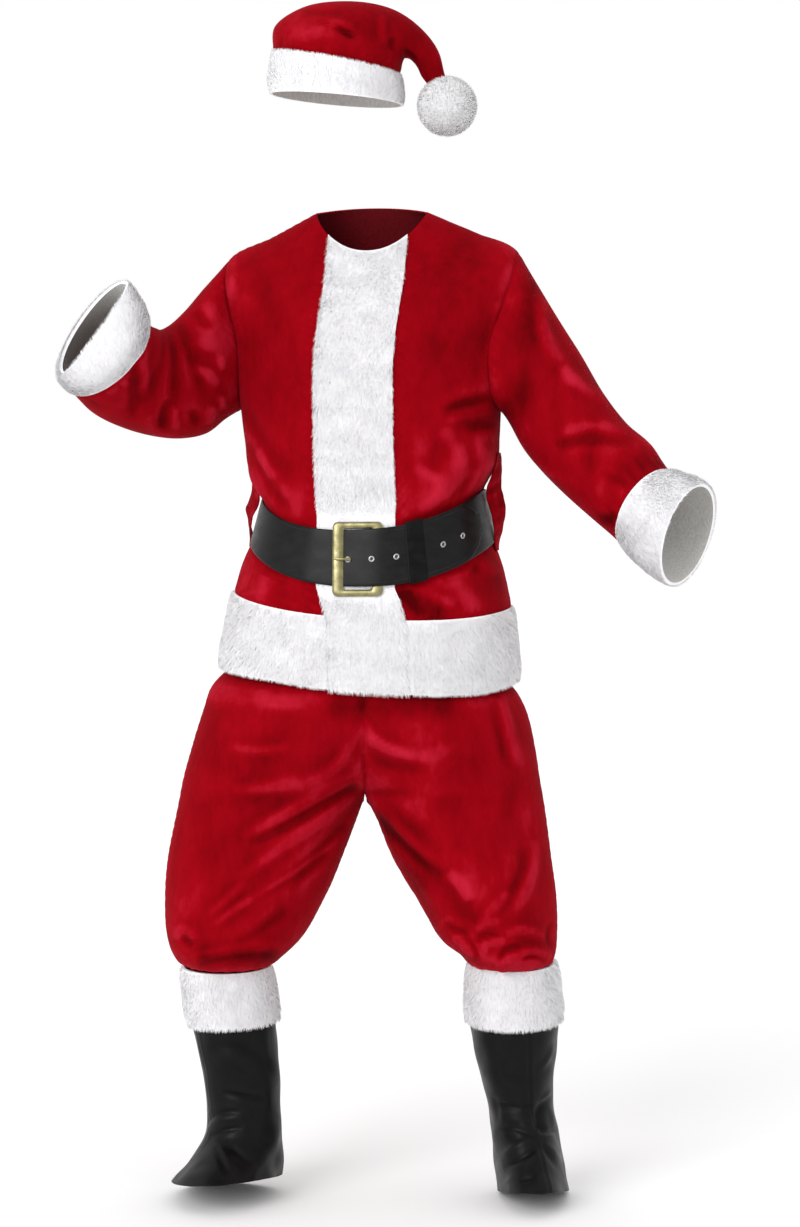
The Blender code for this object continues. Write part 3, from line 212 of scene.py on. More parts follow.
# A ring of one trouser leg, below the crotch.
LegRing = namedtuple("LegRing", "down out_x out_z in_x in_z y_front y_back")
LEG_RIGHT = rows(
    LegRing,
    (478, -307, -948, CENTRE_X, -932, -136, 114),
    (520, -316, -990, -22, -976, -132, 116),
    (560, -324, -1030, -40, -1024, -130, 118),
    (630, -330, -1100, -70, -1096, -130, 120),
    (686, -327, -1156, -106, -1158, -124, 112),
    (720, -318, -1186, -136, -1188, -112, 98),
    (744, -304, -1204, -156, -1204, -88, 84),
    (760, -292, -1209, -172, -1209, -60, 62),
    (772, -291.5, -1220, -171.5, -1220, -58.6, 60.6),
    (800, -288.7, -1248, -169.3, -1248, -58.8, 60.8),
)
LEG_LEFT = rows(
    LegRing,
    (478, 279, -948, CENTRE_X, -932, -142, 112),
    (520, 285, -990, 12, -976, -142, 110),
    (560, 290, -1030, 31, -1024, -144, 106),
    (630, 299, -1100, 72, -1096, -146, 98),
    (686, 300, -1152, 112, -1156, -140, 86),
    (720, 297, -1178, 145, -1180, -132, 74),
    (744, 290, -1194, 160, -1196, -108, 58),
    (760, 286, -1200, 174, -1202, -84, 34),
    (772, 286, -1212, 173, -1212, -82, 32),
    (800, 288, -1240, 172, -1242, -82, 32),
)

# The largest folds, as soft troughs and ridges from one place to another on a piece: "along" and "round" are
# the piece's own, in the units of its grid, and depth is positive where the cloth stands out.
Fold = namedtuple("Fold", "along_0 round_0 along_1 round_1 depth width")
JACKET_FOLDS = rows(
    Fold,
    (300, 60, 352, 48, 7, 26),
    (300, 36, 350, 30, -6, 24),
    (300, 128, 360, 134, -7, 26),
    (300, 152, 352, 160, 7, 26),
    (300, 210, 356, 204, -7, 28),
    (300, 240, 350, 244, 6, 28),
    (300, 288, 360, 284, -7, 28),
    (300, 320, 352, 326, 6, 28),
    (430, 30, 380, 64, -6, 26),
    (440, 152, 380, 122, -6, 26),
    (120, 138, 204, 132, 5, 26),
    (120, 40, 204, 50, 5, 26),
    (120, 230, 204, 238, 6, 28),
    (120, 305, 204, 298, 6, 28),
)
SLEEVE_LEFT_FOLDS = rows(
    Fold,
    (0.10, 205, 0.95, 175, 5, 22),
    (0.30, 120, 0.62, 60, -6, 20),
    (0.55, 150, 0.80, 70, -7, 20),
    (0.72, 130, 0.96, 40, 6, 20),
    (0.28, 255, 0.60, 300, -6, 22),
    (0.60, 240, 0.85, 320, -6, 22),
)
SLEEVE_RIGHT_FOLDS = rows(
    Fold,
    (0.42, 160, 0.30, 60, -7, 20),
    (0.52, 160, 0.55, 40, -8, 20),
    (0.62, 160, 0.78, 60, -7, 20),
    (0.42, 200, 0.36, 300, -7, 22),
    (0.60, 200, 0.66, 310, -7, 22),
    (0.48, 20, 0.70, 50, 6, 22),
)
LEG_RIGHT_FOLDS = rows(
    Fold,
    (330, 0.16, 600, 0.34, -7, 34),
    (420, 0.08, 660, 0.22, 7, 34),
    (470, 0.04, 560, 0.14, -7, 26),
    (560, 0.30, 690, 0.42, 7, 36),
    (420, 0.90, 640, 0.74, -7, 36),
    (480, 0.96, 690, 0.86, 7, 34),
)
LEG_LEFT_FOLDS = rows(
    Fold,
    (280, 0.10, 640, 0.26, 8, 36),
    (330, 0.04, 470, 0.12, -6, 30),
    (500, 0.14, 680, 0.20, -7, 32),
    (420, 0.34, 640, 0.40, -5, 34),
    (420, 0.90, 640, 0.74, -7, 36),
    (480, 0.96, 690, 0.86, 7, 34),
)


# How far the white plush stands out: across a band from its open edge to its seam, and up the placket.
Pile = namedtuple("Pile", "place proud")
HEM_PILE = rows(Pile, (0, 5.0), (0.15, PILE), (0.85, PILE), (1, 6.0))
PLACKET_PILE = rows(
    Pile,
    (0, PILE),
    (BELT_LOW - 44, PILE),
    (BELT_LOW - BELT_PRESS, PRESSED_PILE),
    (BELT_TOP, PRESSED_PILE),
    (BELT_TOP + BELT_PRESS, 0.4 * PRESSED_PILE),
    (BELT_TOP + 46, PILE),
    (NECK, PILE),
)

# Creases, as seen from one side: a run through three places, across and up, as seen in the camera's
# view for the front and straight on for the back. Depth is positive where the cloth stands out.
Crease = namedtuple("Crease", "x_0 z_0 x_1 z_1 x_2 z_2 depth width")
JACKET_FRONT = rows(
    Crease,
    (-208, -328, -173, -392, -133, -464, 3.2, 13),
    (-182, -384, -166, -408, -152, -432, 2.5, 8),
    (-195, -368, -176, -410, -154, -458, -2.5, 7),
    (-221, -64, -219, -104, -222, -144, 2.5, 8),
    (203, -144, 205, -216, 173, -304, 4, 13),
    (112, -323, 160, -307, 208, -296, -5, 10),
    (152, -352, 179, -347, 208, -344, -4.5, 10),
    (120, -338, 160, -326, 208, -318, 3, 8),
    (122, -344, 134, -379, 147, -416, 2.5, 13),
    (173, -365, 182, -390, 192, -416, 2.5, 11),
    (67, -413, 96, -424, 128, -445, 2.5, 11),
    (99, -344, 107, -384, 106, -429, -1.6, 10),
    (160, -355, 163, -387, 166, -424, -2, 9),
    (53, -608, 67, -629, 83, -653, -4.5, 9),
    (72, -600, 109, -621, 139, -632, 3.6, 10),
    (112, -571, 136, -576, 160, -584, 2.4, 10),
    (176, -562, 189, -573, 200, -587, 2.4, 9),
    (-192, -538, -176, -549, -160, -562, 2.4, 10),
    (-128, -568, -112, -579, -96, -594, 2.4, 10),
    (-152, -541, -144, -568, -139, -602, -2.4, 9),
    (-104, -547, -99, -576, -93, -611, -2.2, 9),
    (99, -541, 96, -565, 86, -592, -2.2, 9),
    (160, -541, 166, -560, 173, -584, -2.2, 8),
)
JACKET_BACK = rows(
    Crease,
    (-190, -270, -120, -330, -30, -350, -6, 12),
    (-185, -240, -110, -295, -40, -315, 4, 12),
    (192, -280, 120, -345, 40, -372, -6, 12),
    (188, -255, 115, -310, 50, -335, 4, 11),
    (-60, -70, -75, -150, -70, -240, 3, 14),
    (70, -60, 92, -140, 84, -215, 3, 14),
    (0, -120, 8, -200, 2, -290, -3, 16),
    (-140, -370, -118, -405, -108, -438, 4, 10),
    (-60, -360, -52, -395, -54, -436, 3, 10),
    (36, -365, 30, -402, 34, -436, -4, 9),
    (120, -372, 112, -405, 100, -438, 4, 10),
    (-130, -540, -138, -570, -142, -604, -4, 9),
    (-40, -540, -30, -572, -32, -606, -4, 9),
    (58, -540, 66, -570, 64, -604, 4, 10),
    (138, -540, 130, -572, 134, -606, -4, 9),
)
TROUSERS_FRONT = rows(
    Crease,
    (-184, -771, -144, -789, -104, -787, 2.5, 9),
    (-227, -854, -184, -864, -125, -858, 2.5, 8),
    (-221, -926, -168, -925, -112, -910, 3, 9),
    (-40, -848, -51, -888, -125, -926, 4, 10),
    (-14, -914, -88, -963, -192, -1014, -7, 8),
    (-19, -899, -99, -944, -208, -1005, 4.5, 10),
    (-56, -963, -128, -1011, -221, -1078, 4, 11),
    (-38, -979, -93, -1040, -173, -1098, -5, 9),
    (-40, -992, -99, -1046, -184, -1098, 4, 6),
    (-64, -1027, -99, -1059, -131, -1091, -4, 8),
    (-184, -1098, -214, -1117, -253, -1146, 4, 7),
    (-195, -1072, -230, -1104, -261, -1133, 3, 8),
    (-128, -1112, -163, -1144, -214, -1174, -3, 10),
    (-310, -1168, -298, -1150, -278, -1168, 4, 6),
    (-302, -1165, -294, -1170, -283, -1178, -4.5, 5),
    (-285, -1200, -237, -1186, -134, -1174, 4, 8),
    (-29, -874, 24, -968, 122, -1059, 6, 12),
    (122, -1059, 147, -1082, 160, -1107, 5, 10),
    (6, -939, 45, -1005, 115, -1066, -7, 12),
    (32, -1024, 67, -1088, 112, -1144, -4, 16),
    (-14, -819, 16, -854, 75, -875, 5, 9),
    (75, -875, 106, -870, 138, -854, 2.5, 10),
    (-22, -856, 29, -888, 96, -893, -2.5, 11),
    (208, -765, 222, -829, 240, -893, 5, 10),
    (195, -784, 208, -842, 221, -899, -2.5, 9),
    (264, -1005, 256, -1072, 221, -1133, 4.5, 11),
    (246, -1018, 237, -1072, 208, -1112, -2.5, 10),
    (221, -1088, 208, -1107, 173, -1142, 3.5, 8),
    (170, -1154, 186, -1141, 211, -1139, 4.5, 6),
    (170, -1174, 181, -1162, 208, -1162, -4, 4.5),
    (182, -1194, 190, -1174, 219, -1171, 4, 5.5),
    (218, -1162, 246, -1152, 282, -1165, 4.5, 7),
    (208, -1203, 218, -1184, 243, -1181, -4.5, 5),
    (222, -1203, 256, -1186, 288, -1197, 4.5, 6.5),
    (243, -1203, 259, -1195, 282, -1203, -4, 4),
    (291, -1139, 285, -1162, 293, -1184, -3.5, 5),
    (120, -1139, 138, -1152, 160, -1155, -3.5, 6),
    (131, -1162, 150, -1174, 166, -1197, 3.5, 7),
    (147, -1158, 163, -1178, 173, -1200, -3.5, 4.5),
)
TROUSERS_BACK = rows(
    Crease,
    (-200, -800, -120, -850, -20, -880, 5, 14),
    (-190, -835, -110, -885, -20, -912, -6, 11),
    (206, -792, 120, -852, 4, -886, 6, 13),
    (200, -828, 120, -888, 10, -918, -6, 11),
    (-290, -960, -200, -1000, -60, -990, -5, 12),
    (-300, -1000, -210, -1040, -70, -1030, 5, 13),
    (-310, -1080, -220, -1110, -90, -1096, -6, 11),
    (-300, -1120, -210, -1146, -110, -1136, 5, 11),
    (268, -950, 180, -1000, 46, -996, -6, 12),
    (276, -1000, 190, -1044, 60, -1036, 5, 13),
    (284, -1070, 200, -1108, 90, -1094, -6, 11),
    (280, -1118, 205, -1140, 110, -1132, 5, 11),
    (-60, -700, -66, -760, -70, -820, 3, 14),
    (80, -700, 88, -760, 92, -826, 3, 14),
    (-240, -740, -262, -820, -280, -900, -3, 12),
    (236, -740, 252, -820, 262, -900, -3, 12),
)
SLEEVE_LEFT_FRONT = rows(
    Crease,
    (269, -128, 280, -200, 304, -248, 5, 12),
    (304, -248, 336, -280, 384, -312, 4.5, 10),
    (240, -128, 227, -144, 216, -160, 2.5, 9),
    (296, -381, 352, -365, 424, -376, -5, 10.5),
    (304, -362, 355, -346, 416, -354, 2.6, 10),
    (285, -152, 307, -208, 344, -259, -2.4, 10),
    (248, -394, 280, -416, 323, -442, 2.6, 10),
    (368, -496, 384, -493, 400, -488, -3.5, 7),
    (368, -416, 387, -429, 413, -442, -2, 8),
)
SLEEVE_LEFT_BACK = rows(
    Crease,
    (262, -200, 300, -262, 350, -300, 5, 12),
    (270, -250, 318, -312, 380, -348, -5, 10),
    (285, -330, 350, -372, 420, -392, 5, 11),
    (300, -372, 350, -414, 410, -440, -5, 9),
    (250, -330, 290, -392, 330, -440, 4, 10),
)
SLEEVE_RIGHT_FRONT = rows(
    Crease,
    (-376, -224, -378, -280, -379, -336, -4, 8),
    (-363, -216, -362, -259, -360, -304, 3.5, 8),
    (-320, -304, -328, -328, -336, -352, -7, 7),
    (-317, -312, -314, -333, -312, -352, 5, 7),
    (-283, -320, -280, -333, -275, -344, -4.5, 7),
    (-251, -312, -256, -328, -261, -344, 4, 8),
    (-288, -224, -264, -237, -243, -240, -5.5, 12),
    (-280, -248, -261, -264, -240, -280, 4, 9),
    (-240, -232, -238, -243, -237, -256, 3, 6),
    (-237, -296, -237, -307, -235, -320, 3, 6),
    (-280, -160, -266, -176, -253, -192, -3.5, 10),
    (-224, -83, -222, -104, -224, -131, 2.2, 7),
)
SLEEVE_RIGHT_BACK = rows(
    Crease,
    (-262, -150, -300, -210, -340, -240, 5, 11),
    (-255, -200, -290, -262, -330, -292, -6, 10),
    (-262, -260, -300, -300, -350, -310, 5, 10),
    (-300, -180, -350, -232, -400, -250, -4, 9),
    (-290, -320, -330, -334, -380, -330, 4, 9),
)
HAT_FRONT = rows(
    Crease,
    (-136, 280, -107, 275, -72, 293, 3.5, 7),
    (-56, 298, -40, 286, -22, 274, -5, 6),
    (-70, 301, -48, 298, -26, 291, 3, 6),
    (19, 314, 19, 288, 21, 262, 3, 6),
    (35, 277, 35, 266, 34, 254, -3, 5),
    (54, 258, 64, 248, 74, 238, -3, 5),
    (70, 304, 96, 283, 112, 256, -2.5, 6),
    (-112, 314, -80, 317, -40, 314, -2, 7),
)
HAT_BACK = rows(
    Crease,
    (-130, 272, -90, 286, -50, 280, 4, 9),
    (-80, 262, -30, 272, 10, 260, -4, 9),
    (0, 310, 12, 282, 20, 250, 4, 8),
    (50, 296, 62, 268, 72, 244, -4, 7),
)
BOOTS_FRONT = rows(
    Crease,
    (-261, -1341, -197, -1344, -146, -1397, -3, 9),
    (-253, -1358, -208, -1362, -173, -1397, 1.5, 9),
    (-237, -1411, -202, -1419, -163, -1424, -3.5, 4.5),
    (-202, -1408, -182, -1410, -163, -1410, 1.5, 4),
    (-261, -1469, -248, -1448, -205, -1443, -4, 4),
    (-250, -1458, -227, -1454, -202, -1453, 2, 4),
    (-256, -1482, -230, -1472, -202, -1469, -3, 4),
    (-251, -1486, -232, -1514, -213, -1546, 2.5, 4),
    (-248, -1499, -238, -1520, -227, -1547, -2.5, 5),
    (-224, -1498, -210, -1510, -190, -1528, -3.5, 4.5),
    (-150, -1459, -163, -1507, -205, -1552, 4, 9),
    (-141, -1472, -146, -1512, -160, -1539, -2, 6),
    (-267, -1517, -286, -1531, -302, -1542, 1.5, 5),
    (205, -1429, 222, -1434, 242, -1438, -3.5, 4),
    (243, -1438, 253, -1434, 266, -1432, -2, 3),
    (286, -1421, 270, -1446, 277, -1475, -6, 6.5),
    (259, -1459, 272, -1466, 282, -1474, -4, 4),
    (269, -1483, 283, -1482, 298, -1482, 3, 3),
    (269, -1474, 283, -1474, 299, -1472, -3, 3),
    (203, -1474, 234, -1470, 269, -1491, -3, 4.5),
    (214, -1514, 234, -1498, 261, -1488, 3, 6),
    (269, -1498, 245, -1515, 214, -1533, -4, 4.5),
    (274, -1493, 286, -1514, 304, -1536, -2.5, 4.5),
    (278, -1491, 293, -1507, 309, -1528, 2, 5),
    (208, -1565, 216, -1557, 229, -1547, 2, 3.5),
    (240, -1554, 251, -1552, 264, -1549, -2.5, 4),
    (294, -1331, 286, -1355, 272, -1378, 2.5, 4.5),
    (293, -1405, 282, -1418, 272, -1430, 2, 3),
    (221, -1458, 230, -1462, 243, -1464, -2, 3),
    (286, -1430, 293, -1453, 294, -1472, 2.5, 4),
    (208, -1382, 230, -1395, 258, -1398, -1.5, 11),
    (197, -1418, 202, -1434, 205, -1466, -2, 5),
)
BOOTS_BACK = rows(
    Crease,
    (-270, -1410, -215, -1428, -150, -1420, -3, 6),
    (-268, -1440, -210, -1462, -148, -1450, -3.5, 6),
    (-268, -1425, -212, -1446, -150, -1436, 3, 6),
    (-280, -1490, -214, -1508, -146, -1496, -3, 6),
    (296, -1404, 240, -1420, 178, -1414, -3, 6),
    (298, -1436, 244, -1458, 190, -1448, -3.5, 6),
    (296, -1420, 242, -1440, 186, -1432, 3, 6),
    (304, -1486, 250, -1504, 200, -1494, -3, 6),
)
# Painted shade and painted highlight on the red cloth, in patches from one place to another, in the same two
# views. Tone is positive where it looks lighter.
Brush = namedtuple("Brush", "x_0 z_0 x_1 z_1 width tone")
PAINTED_LIGHT_FRONT = rows(
    Brush,
    (179, -48, 141, -200, 48, -0.65),
    (102, -216, 67, -296, 29, -0.3),
    (221, -104, 197, -216, 13, 0.45),
    (150, -326, 208, -323, 21, -1.3),
    (61, -456, 138, -387, 48, 0.7),
    (160, -376, 182, -435, 32, 0.3),
    (48, -608, 102, -646, 21, -1.8),
    (122, -614, 170, -627, 19, 0.5),
    (198, -576, 214, -643, 16, -0.4),
    (-182, -93, -154, -192, 22, -0.6),
    (-203, -83, -194, -152, 13, 0.4),
    (-198, -384, -138, -461, 22, 0.3),
    (-211, -568, -189, -627, 22, 0.4),
    (259, -131, 250, -291, 22, -0.7),
    (282, -138, 320, -269, 13, 0.6),
    (320, -278, 371, -326, 22, 0.6),
    (301, -422, 387, -451, 22, 0.3),
    (371, -496, 400, -509, 19, -1.2),
    (-229, -120, -226, -323, 22, 0.9),
    (-262, -176, -254, -312, 22, 0.6),
    (-374, -259, -339, -336, 16, -0.4),
    (-349, -227, -250, -326, 64, 0.25),
    (-306, -317, -302, -349, 11, 0.6),
    (-51, -790, 118, -787, 22, -2.0),
    (-19, -851, -16, -888, 22, 0.6),
    (-173, -792, -128, -797, 13, 0.2),
    (-10, -840, 112, -886, 13, 0.5),
    (118, -928, 160, -1000, 54, -0.4),
    (141, -1072, 170, -1098, 18, 0.9),
    (240, -864, 266, -1096, 13, 0.5),
    (-109, -954, -32, -915, 13, -0.6),
    (-264, -1197, -157, -1195, 14, -2.0),
    (22, -982, 86, -1072, 19, -1.3),
    (-248, -880, -224, -1104, 58, -0.15),
    (-182, 237, 80, 272, 96, -0.7),
    (-112, 283, -64, 285, 11, 0.5),
    (86, 259, 112, 211, 19, 0.5),
)
PAINTED_LIGHT_BACK = rows(
    Brush,
    (-150, -60, -120, -190, 34, -0.7),
    (110, -70, 150, -200, 36, -0.6),
    (-20, -250, 60, -330, 34, 0.6),
    (-170, -330, -130, -420, 24, 0.5),
    (160, -360, 120, -420, 20, -0.5),
    (-290, -150, -330, -260, 20, -0.5),
    (290, -150, 350, -260, 20, 0.6),
    (-120, -780, 30, -800, 26, -0.8),
    (-200, -880, -120, -960, 30, 0.5),
    (190, -850, 240, -990, 34, 0.5),
    (60, -920, 130, -1010, 26, -0.6),
    (-260, -1170, -150, -1180, 16, -0.8),
    (150, -1165, 250, -1170, 16, -0.7),
    (-110, 290, 30, 282, 40, -0.4),
)

# ---------------------------------------------------------------- curves and rings


def hermite(values, keys, place):
    """Values read at the given places between their keys, on a smooth curve through them."""
    slopes = np.gradient(values, keys, axis=0)
    place = np.clip(np.asarray(place, float), keys[0], keys[-1])
    at = np.clip(np.searchsorted(keys, place) - 1, 0, len(keys) - 2)
    missing = (1,) * (values.ndim - 1)
    width = (keys[at + 1] - keys[at]).reshape(place.shape + missing)
    t = (place - keys[at]).reshape(place.shape + missing) / width
    return (
        (2 * t**3 - 3 * t**2 + 1) * values[at]
        + (t**3 - 2 * t**2 + t) * width * slopes[at]
        + (3 * t**2 - 2 * t**3) * values[at + 1]
        + (t**3 - t**2) * width * slopes[at + 1]
    )


def curve(table, place):
    """Each column of a table at the given places, which are measured as its first column is."""
    values = np.array(table, float)
    return type(table[0])(*np.moveaxis(hermite(values, values[:, 0], place), -1, 0))


def power(value, exponent):
    """A power that keeps the sign."""
    return np.sign(value) * np.abs(value) ** exponent


def unit(vectors):
    """Vectors of length 1."""
    return vectors / (np.linalg.norm(vectors, axis=-1, keepdims=True) + TINY)


def bell(away, width):
    """From 1 where away is 0 to nearly 0 at twice the width."""
    return np.exp(-((away / width) ** 2))


def smooth_step(value, low, high):
    """From 0 at low to 1 at high, with soft ends."""
    t = np.clip((value - low) / (high - low), 0, 1)
    return t * t * (3 - 2 * t)


def run_lengths(line):
    """How far along a line each of its points is."""
    return np.concatenate([[0], np.cumsum(np.linalg.norm(np.diff(line, axis=0), axis=1))])


def steps(*stretches):
    """Places along a table, from (start, end, count) for each stretch."""
    found = [np.linspace(start, end, count, endpoint=False) for start, end, count in stretches]
    return np.concatenate([*found, [stretches[-1][1]]])


FOLD_END = 0.15  # where in a half wave a fold starts and ends, so that its ends keep some of its depth


def fold_relief(folds, along, round_, along_mm, round_mm):
    """How far the folds lift each place, given how many millimetres a unit of each direction is."""
    relief = np.zeros(np.broadcast(along, round_).shape)
    for fold in folds:
        start = np.array([fold.along_0 * along_mm, fold.round_0 * round_mm])
        run = np.array([fold.along_1 * along_mm, fold.round_1 * round_mm]) - start
        to_a, to_r = along * along_mm - start[0], round_ * round_mm - start[1]
        t = np.clip((to_a * run[0] + to_r * run[1]) / run.dot(run), 0, 1)
        away = np.hypot(to_a - t * run[0], to_r - t * run[1])
        share = FOLD_END + (1 - 2 * FOLD_END) * t
        relief += fold.depth * bell(away, fold.width) * np.sin(pi * share)
    return relief


def jacket_point(around, up):
    """The jacket's outer face: around is 0 at the wearer's left side, 90 in front and 180 at the right."""
    around, up = np.broadcast_arrays(np.asarray(around, float), np.asarray(up, float))
    ring = curve(JACKET, up)
    angle = np.radians(around)
    across, forward = np.cos(angle), np.sin(angle)
    x = ring.half_width * power(across, 2 / ring.square)
    depth = np.where(forward > 0, -ring.y_front, ring.y_back)
    y = -depth * power(forward, 2 / ring.square)
    z_end = np.where(forward > 0, ring.z_front, ring.z_back)
    z = ring.z_side + (z_end - ring.z_side) * np.abs(forward) ** SIDE_RISE_POWER
    z = z - ring.roll * x / ring.half_width
    turn = -np.radians(ring.turn)
    turned_x = x * np.cos(turn) - y * np.sin(turn)
    turned_y = x * np.sin(turn) + y * np.cos(turn)
    return np.stack([ring.centre_x + turned_x, turned_y, z], axis=-1)


DEGREE_MM = 3.2  # one degree round the jacket
FOLD_START = 30  # how far from the belt's edges the jacket's folds reach their depth
NEAR_BY = 0.5  # how far off the places are that a normal is measured from, in degrees and millimetres


def folded_jacket(around, up):
    """The jacket's outer face with its folds."""
    points = jacket_point(around, up)
    across = jacket_point(around + NEAR_BY, up) - jacket_point(around - NEAR_BY, up)
    rise = jacket_point(around, up + NEAR_BY) - jacket_point(around, up - NEAR_BY)
    normal = unit(np.cross(rise, across))
    relief = fold_relief(JACKET_FOLDS, up, np.mod(around, 360), 1, DEGREE_MM)
    relief = relief * np.clip(np.maximum(BELT_LOW - up, up - BELT_TOP) / FOLD_START, 0, 1)
    return points + normal * relief[..., None]


def jacket_surface(around, up):
    """The jacket's outer face, pressed straight under the belt."""
    around, up = np.broadcast_arrays(np.asarray(around, float), np.asarray(up, float))
    share = np.clip((up - BELT_LOW) / (BELT_TOP - BELT_LOW), 0, 1)[..., None]
    below = folded_jacket(around, np.minimum(up, BELT_LOW))
    above = folded_jacket(around, np.maximum(up, BELT_TOP))
    pressed = below + (above - below) * share
    under_belt = ((up > BELT_LOW) & (up < BELT_TOP))[..., None]
    return np.where(under_belt, pressed, folded_jacket(around, up))


def placket_half_turn(up):
    """Half of the placket's width, in degrees round the ring."""
    ring = curve(JACKET, up)
    return 90 - np.degrees(np.arccos((PLACKET_HALF / ring.half_width) ** (ring.square / 2)))


def armhole_half_turn(up):
    """Half of the armhole at this height, in degrees round the ring, or 0 above and below it."""
    middle, half = (ARMHOLE_TOP + ARMHOLE_LOW) / 2, (ARMHOLE_TOP - ARMHOLE_LOW) / 2
    return ARMHOLE_TURN * np.sqrt(np.clip(1 - ((up - middle) / half) ** 2, 0, 1))


def hoop_ring(hoop, side, count):
    """Points of a hoop from its low point round its front to its top and back. side is 1 or -1, the way that
    the tube runs on from it."""
    low = np.array([hoop.low_x, hoop.mid_y, hoop.low_z])
    top = np.array([hoop.top_x, hoop.mid_y, hoop.top_z])
    across = (low - top) / 2
    onward = side * unit(np.array([-across[2], 0, across[0]]))
    face = radians(hoop.face)
    forward = np.array([0, -1, 0]) * np.cos(face) - onward * np.sin(face)
    angle = np.arange(count) * 2 * np.pi / count
    depth = np.where(np.sin(angle) > 0, hoop.front, hoop.back) * np.sin(angle)
    return (low + top) / 2 + np.outer(np.cos(angle), across) + np.outer(depth, forward)


def gaps_between(rings):
    """How far each ring's middle is from the one before."""
    return np.linalg.norm(np.diff(np.array(rings).mean(axis=1), axis=0), axis=1)


def lofted(rings, shares):
    """A grid of points on a smooth skin through rings, at the given shares of its length."""
    keys = np.concatenate([[0], np.cumsum(gaps_between(rings))])
    return hermite(np.array(rings), keys, np.asarray(shares) * keys[-1])


def share_of(rings, index):
    """How far along a row of rings one of them is, from 0 to 1."""
    gaps = gaps_between(rings)
    return gaps[:index].sum() / gaps.sum()


def relief_along(table, place):
    """The lift of a table's rows at the given places, as straight runs between them."""
    return np.interp(place, *np.array(table, float)[:, :2].T)


# ---------------------------------------------------------------- grids of cloth


def closed(grid):
    """A grid that goes round, with its first column again at its end."""
    return np.concatenate([grid, grid[:, :1]], axis=1)


def shares_across(columns):
    """How far across a panel each edge of its columns is, from 0 to 1."""
    return np.linspace(0, 1, columns + 1)[None]


def shares_round(columns):
    """How far round each column of a tube is, from 0 to 1."""
    return np.arange(columns)[None] / columns


def cell_areas(points):
    """The area of each cell of a grid."""
    side, down = np.diff(points, axis=1)[:-1], np.diff(points, axis=0)[:, :-1]
    return np.linalg.norm(np.cross(side, down), axis=-1)


def grid_normals(points, wrap):
    """Normals of a grid of points, facing away from the middle of each of its rows."""
    if wrap:
        across = np.roll(points, -1, axis=1) - np.roll(points, 1, axis=1)
    else:
        across = np.gradient(points, axis=1)
    normals = unit(np.cross(across, np.gradient(points, axis=0)))
    away = (normals * (points - points.mean(axis=1, keepdims=True))).sum()
    return normals if away > 0 else -normals


WELD = 50  # points that round to the same fiftieth of a millimetre are one point of a seam


def shared_normals(grids):
    """Normals of grids that meet at seams, from (name, points, core, wrap) rows. They agree along a seam."""
    corners, areas = [], []
    for _, points, core, wrap in grids:
        right = np.roll(points, -1, axis=1) if wrap else points[:, 1:]
        left = points if wrap else points[:, :-1]
        area = np.cross(right[1:] - left[:-1], left[1:] - right[:-1])
        middle = (right[1:] + left[:-1] + left[1:] + right[:-1]) / 4
        out = middle - ((core[1:] + core[:-1]) / 2)[:, None]
        area = area if (area * out).sum() > 0 else -area
        for corner in (left[:-1], left[1:], right[:-1], right[1:]):
            corners.append(corner.reshape(-1, 3))
            areas.append(area.reshape(-1, 3))
    every = np.concatenate([points.reshape(-1, 3) for _, points, _, _ in grids])
    keys = np.round(np.concatenate([every, *corners]) * WELD).astype(np.int64)
    _, index = np.unique(keys, axis=0, return_inverse=True)
    index = index.reshape(-1)
    total = np.zeros((index.max() + 1, 3))
    np.add.at(total, index[len(every) :], np.concatenate(areas))
    flat = unit(total[index[: len(every)]])
    found, start = {}, 0
    for name, points, _, _ in grids:
        size = points.shape[0] * points.shape[1]
        found[name] = flat[start : start + size].reshape(points.shape)
        start += size
    return found


def blurred(grid, times, wrap):
    """A grid smoothed with its neighbours, its edges carried on straight."""
    for _ in range(times):
        above = np.concatenate([2 * grid[:1] - grid[1:2], grid[:-1]])
        below = np.concatenate([grid[1:], 2 * grid[-1:] - grid[-2:-1]])
        grid = (above + 2 * grid + below) / 4
        if wrap:
            left, right = np.roll(grid, 1, axis=1), np.roll(grid, -1, axis=1)
        else:
            left = np.concatenate([2 * grid[:, :1] - grid[:, 1:2], grid[:, :-1]], axis=1)
            right = np.concatenate([grid[:, 1:], 2 * grid[:, -1:] - grid[:, -2:-1]], axis=1)
        grid = (left + 2 * grid + right) / 4
    return grid


FOLD_SHADE_BLUR = 10
FOLD_SHADE_DEPTH = 1.3  # how far a ridge stands out of the cloth round it where its painted highlight is lightest


def fold_shade_of(points, normals, wrap):
    """From -1 in a crease to 1 on a ridge: painted shade in the creases and painted highlight on the ridges.
    """
    stands = ((points - blurred(points, FOLD_SHADE_BLUR, wrap)) * normals).sum(axis=-1)
    return np.clip((stands - np.median(stands)) / FOLD_SHADE_DEPTH, -1, 1)


SEAM_CALM = 12  # how far from its seams the painted fold shade and highlight are at full strength


def seam_calm(points, wrap):
    """From 0 at a piece's seams, where no fold shade or highlight is painted, to 1."""
    edges = ("top", "bottom") if wrap else ("top", "bottom", "left", "right")
    return smooth_step(np.minimum.reduce([edge_distance(points, edge) for edge in edges]), 0, SEAM_CALM)


def edge_distance(points, edge):
    """How far along the grid each point is from one of its edges: top, bottom, left or right."""
    axis = 0 if edge in ("top", "bottom") else 1
    gaps = np.linalg.norm(np.diff(points, axis=axis), axis=-1)
    if edge in ("bottom", "right"):
        gaps = np.flip(gaps, axis)
    total = np.cumsum(gaps, axis=axis)
    total = np.concatenate([np.zeros_like(np.take(total, [0], axis)), total], axis=axis)
    return np.flip(total, axis) if edge in ("bottom", "right") else total


# ---------------------------------------------------------------- folds, gathers and seams

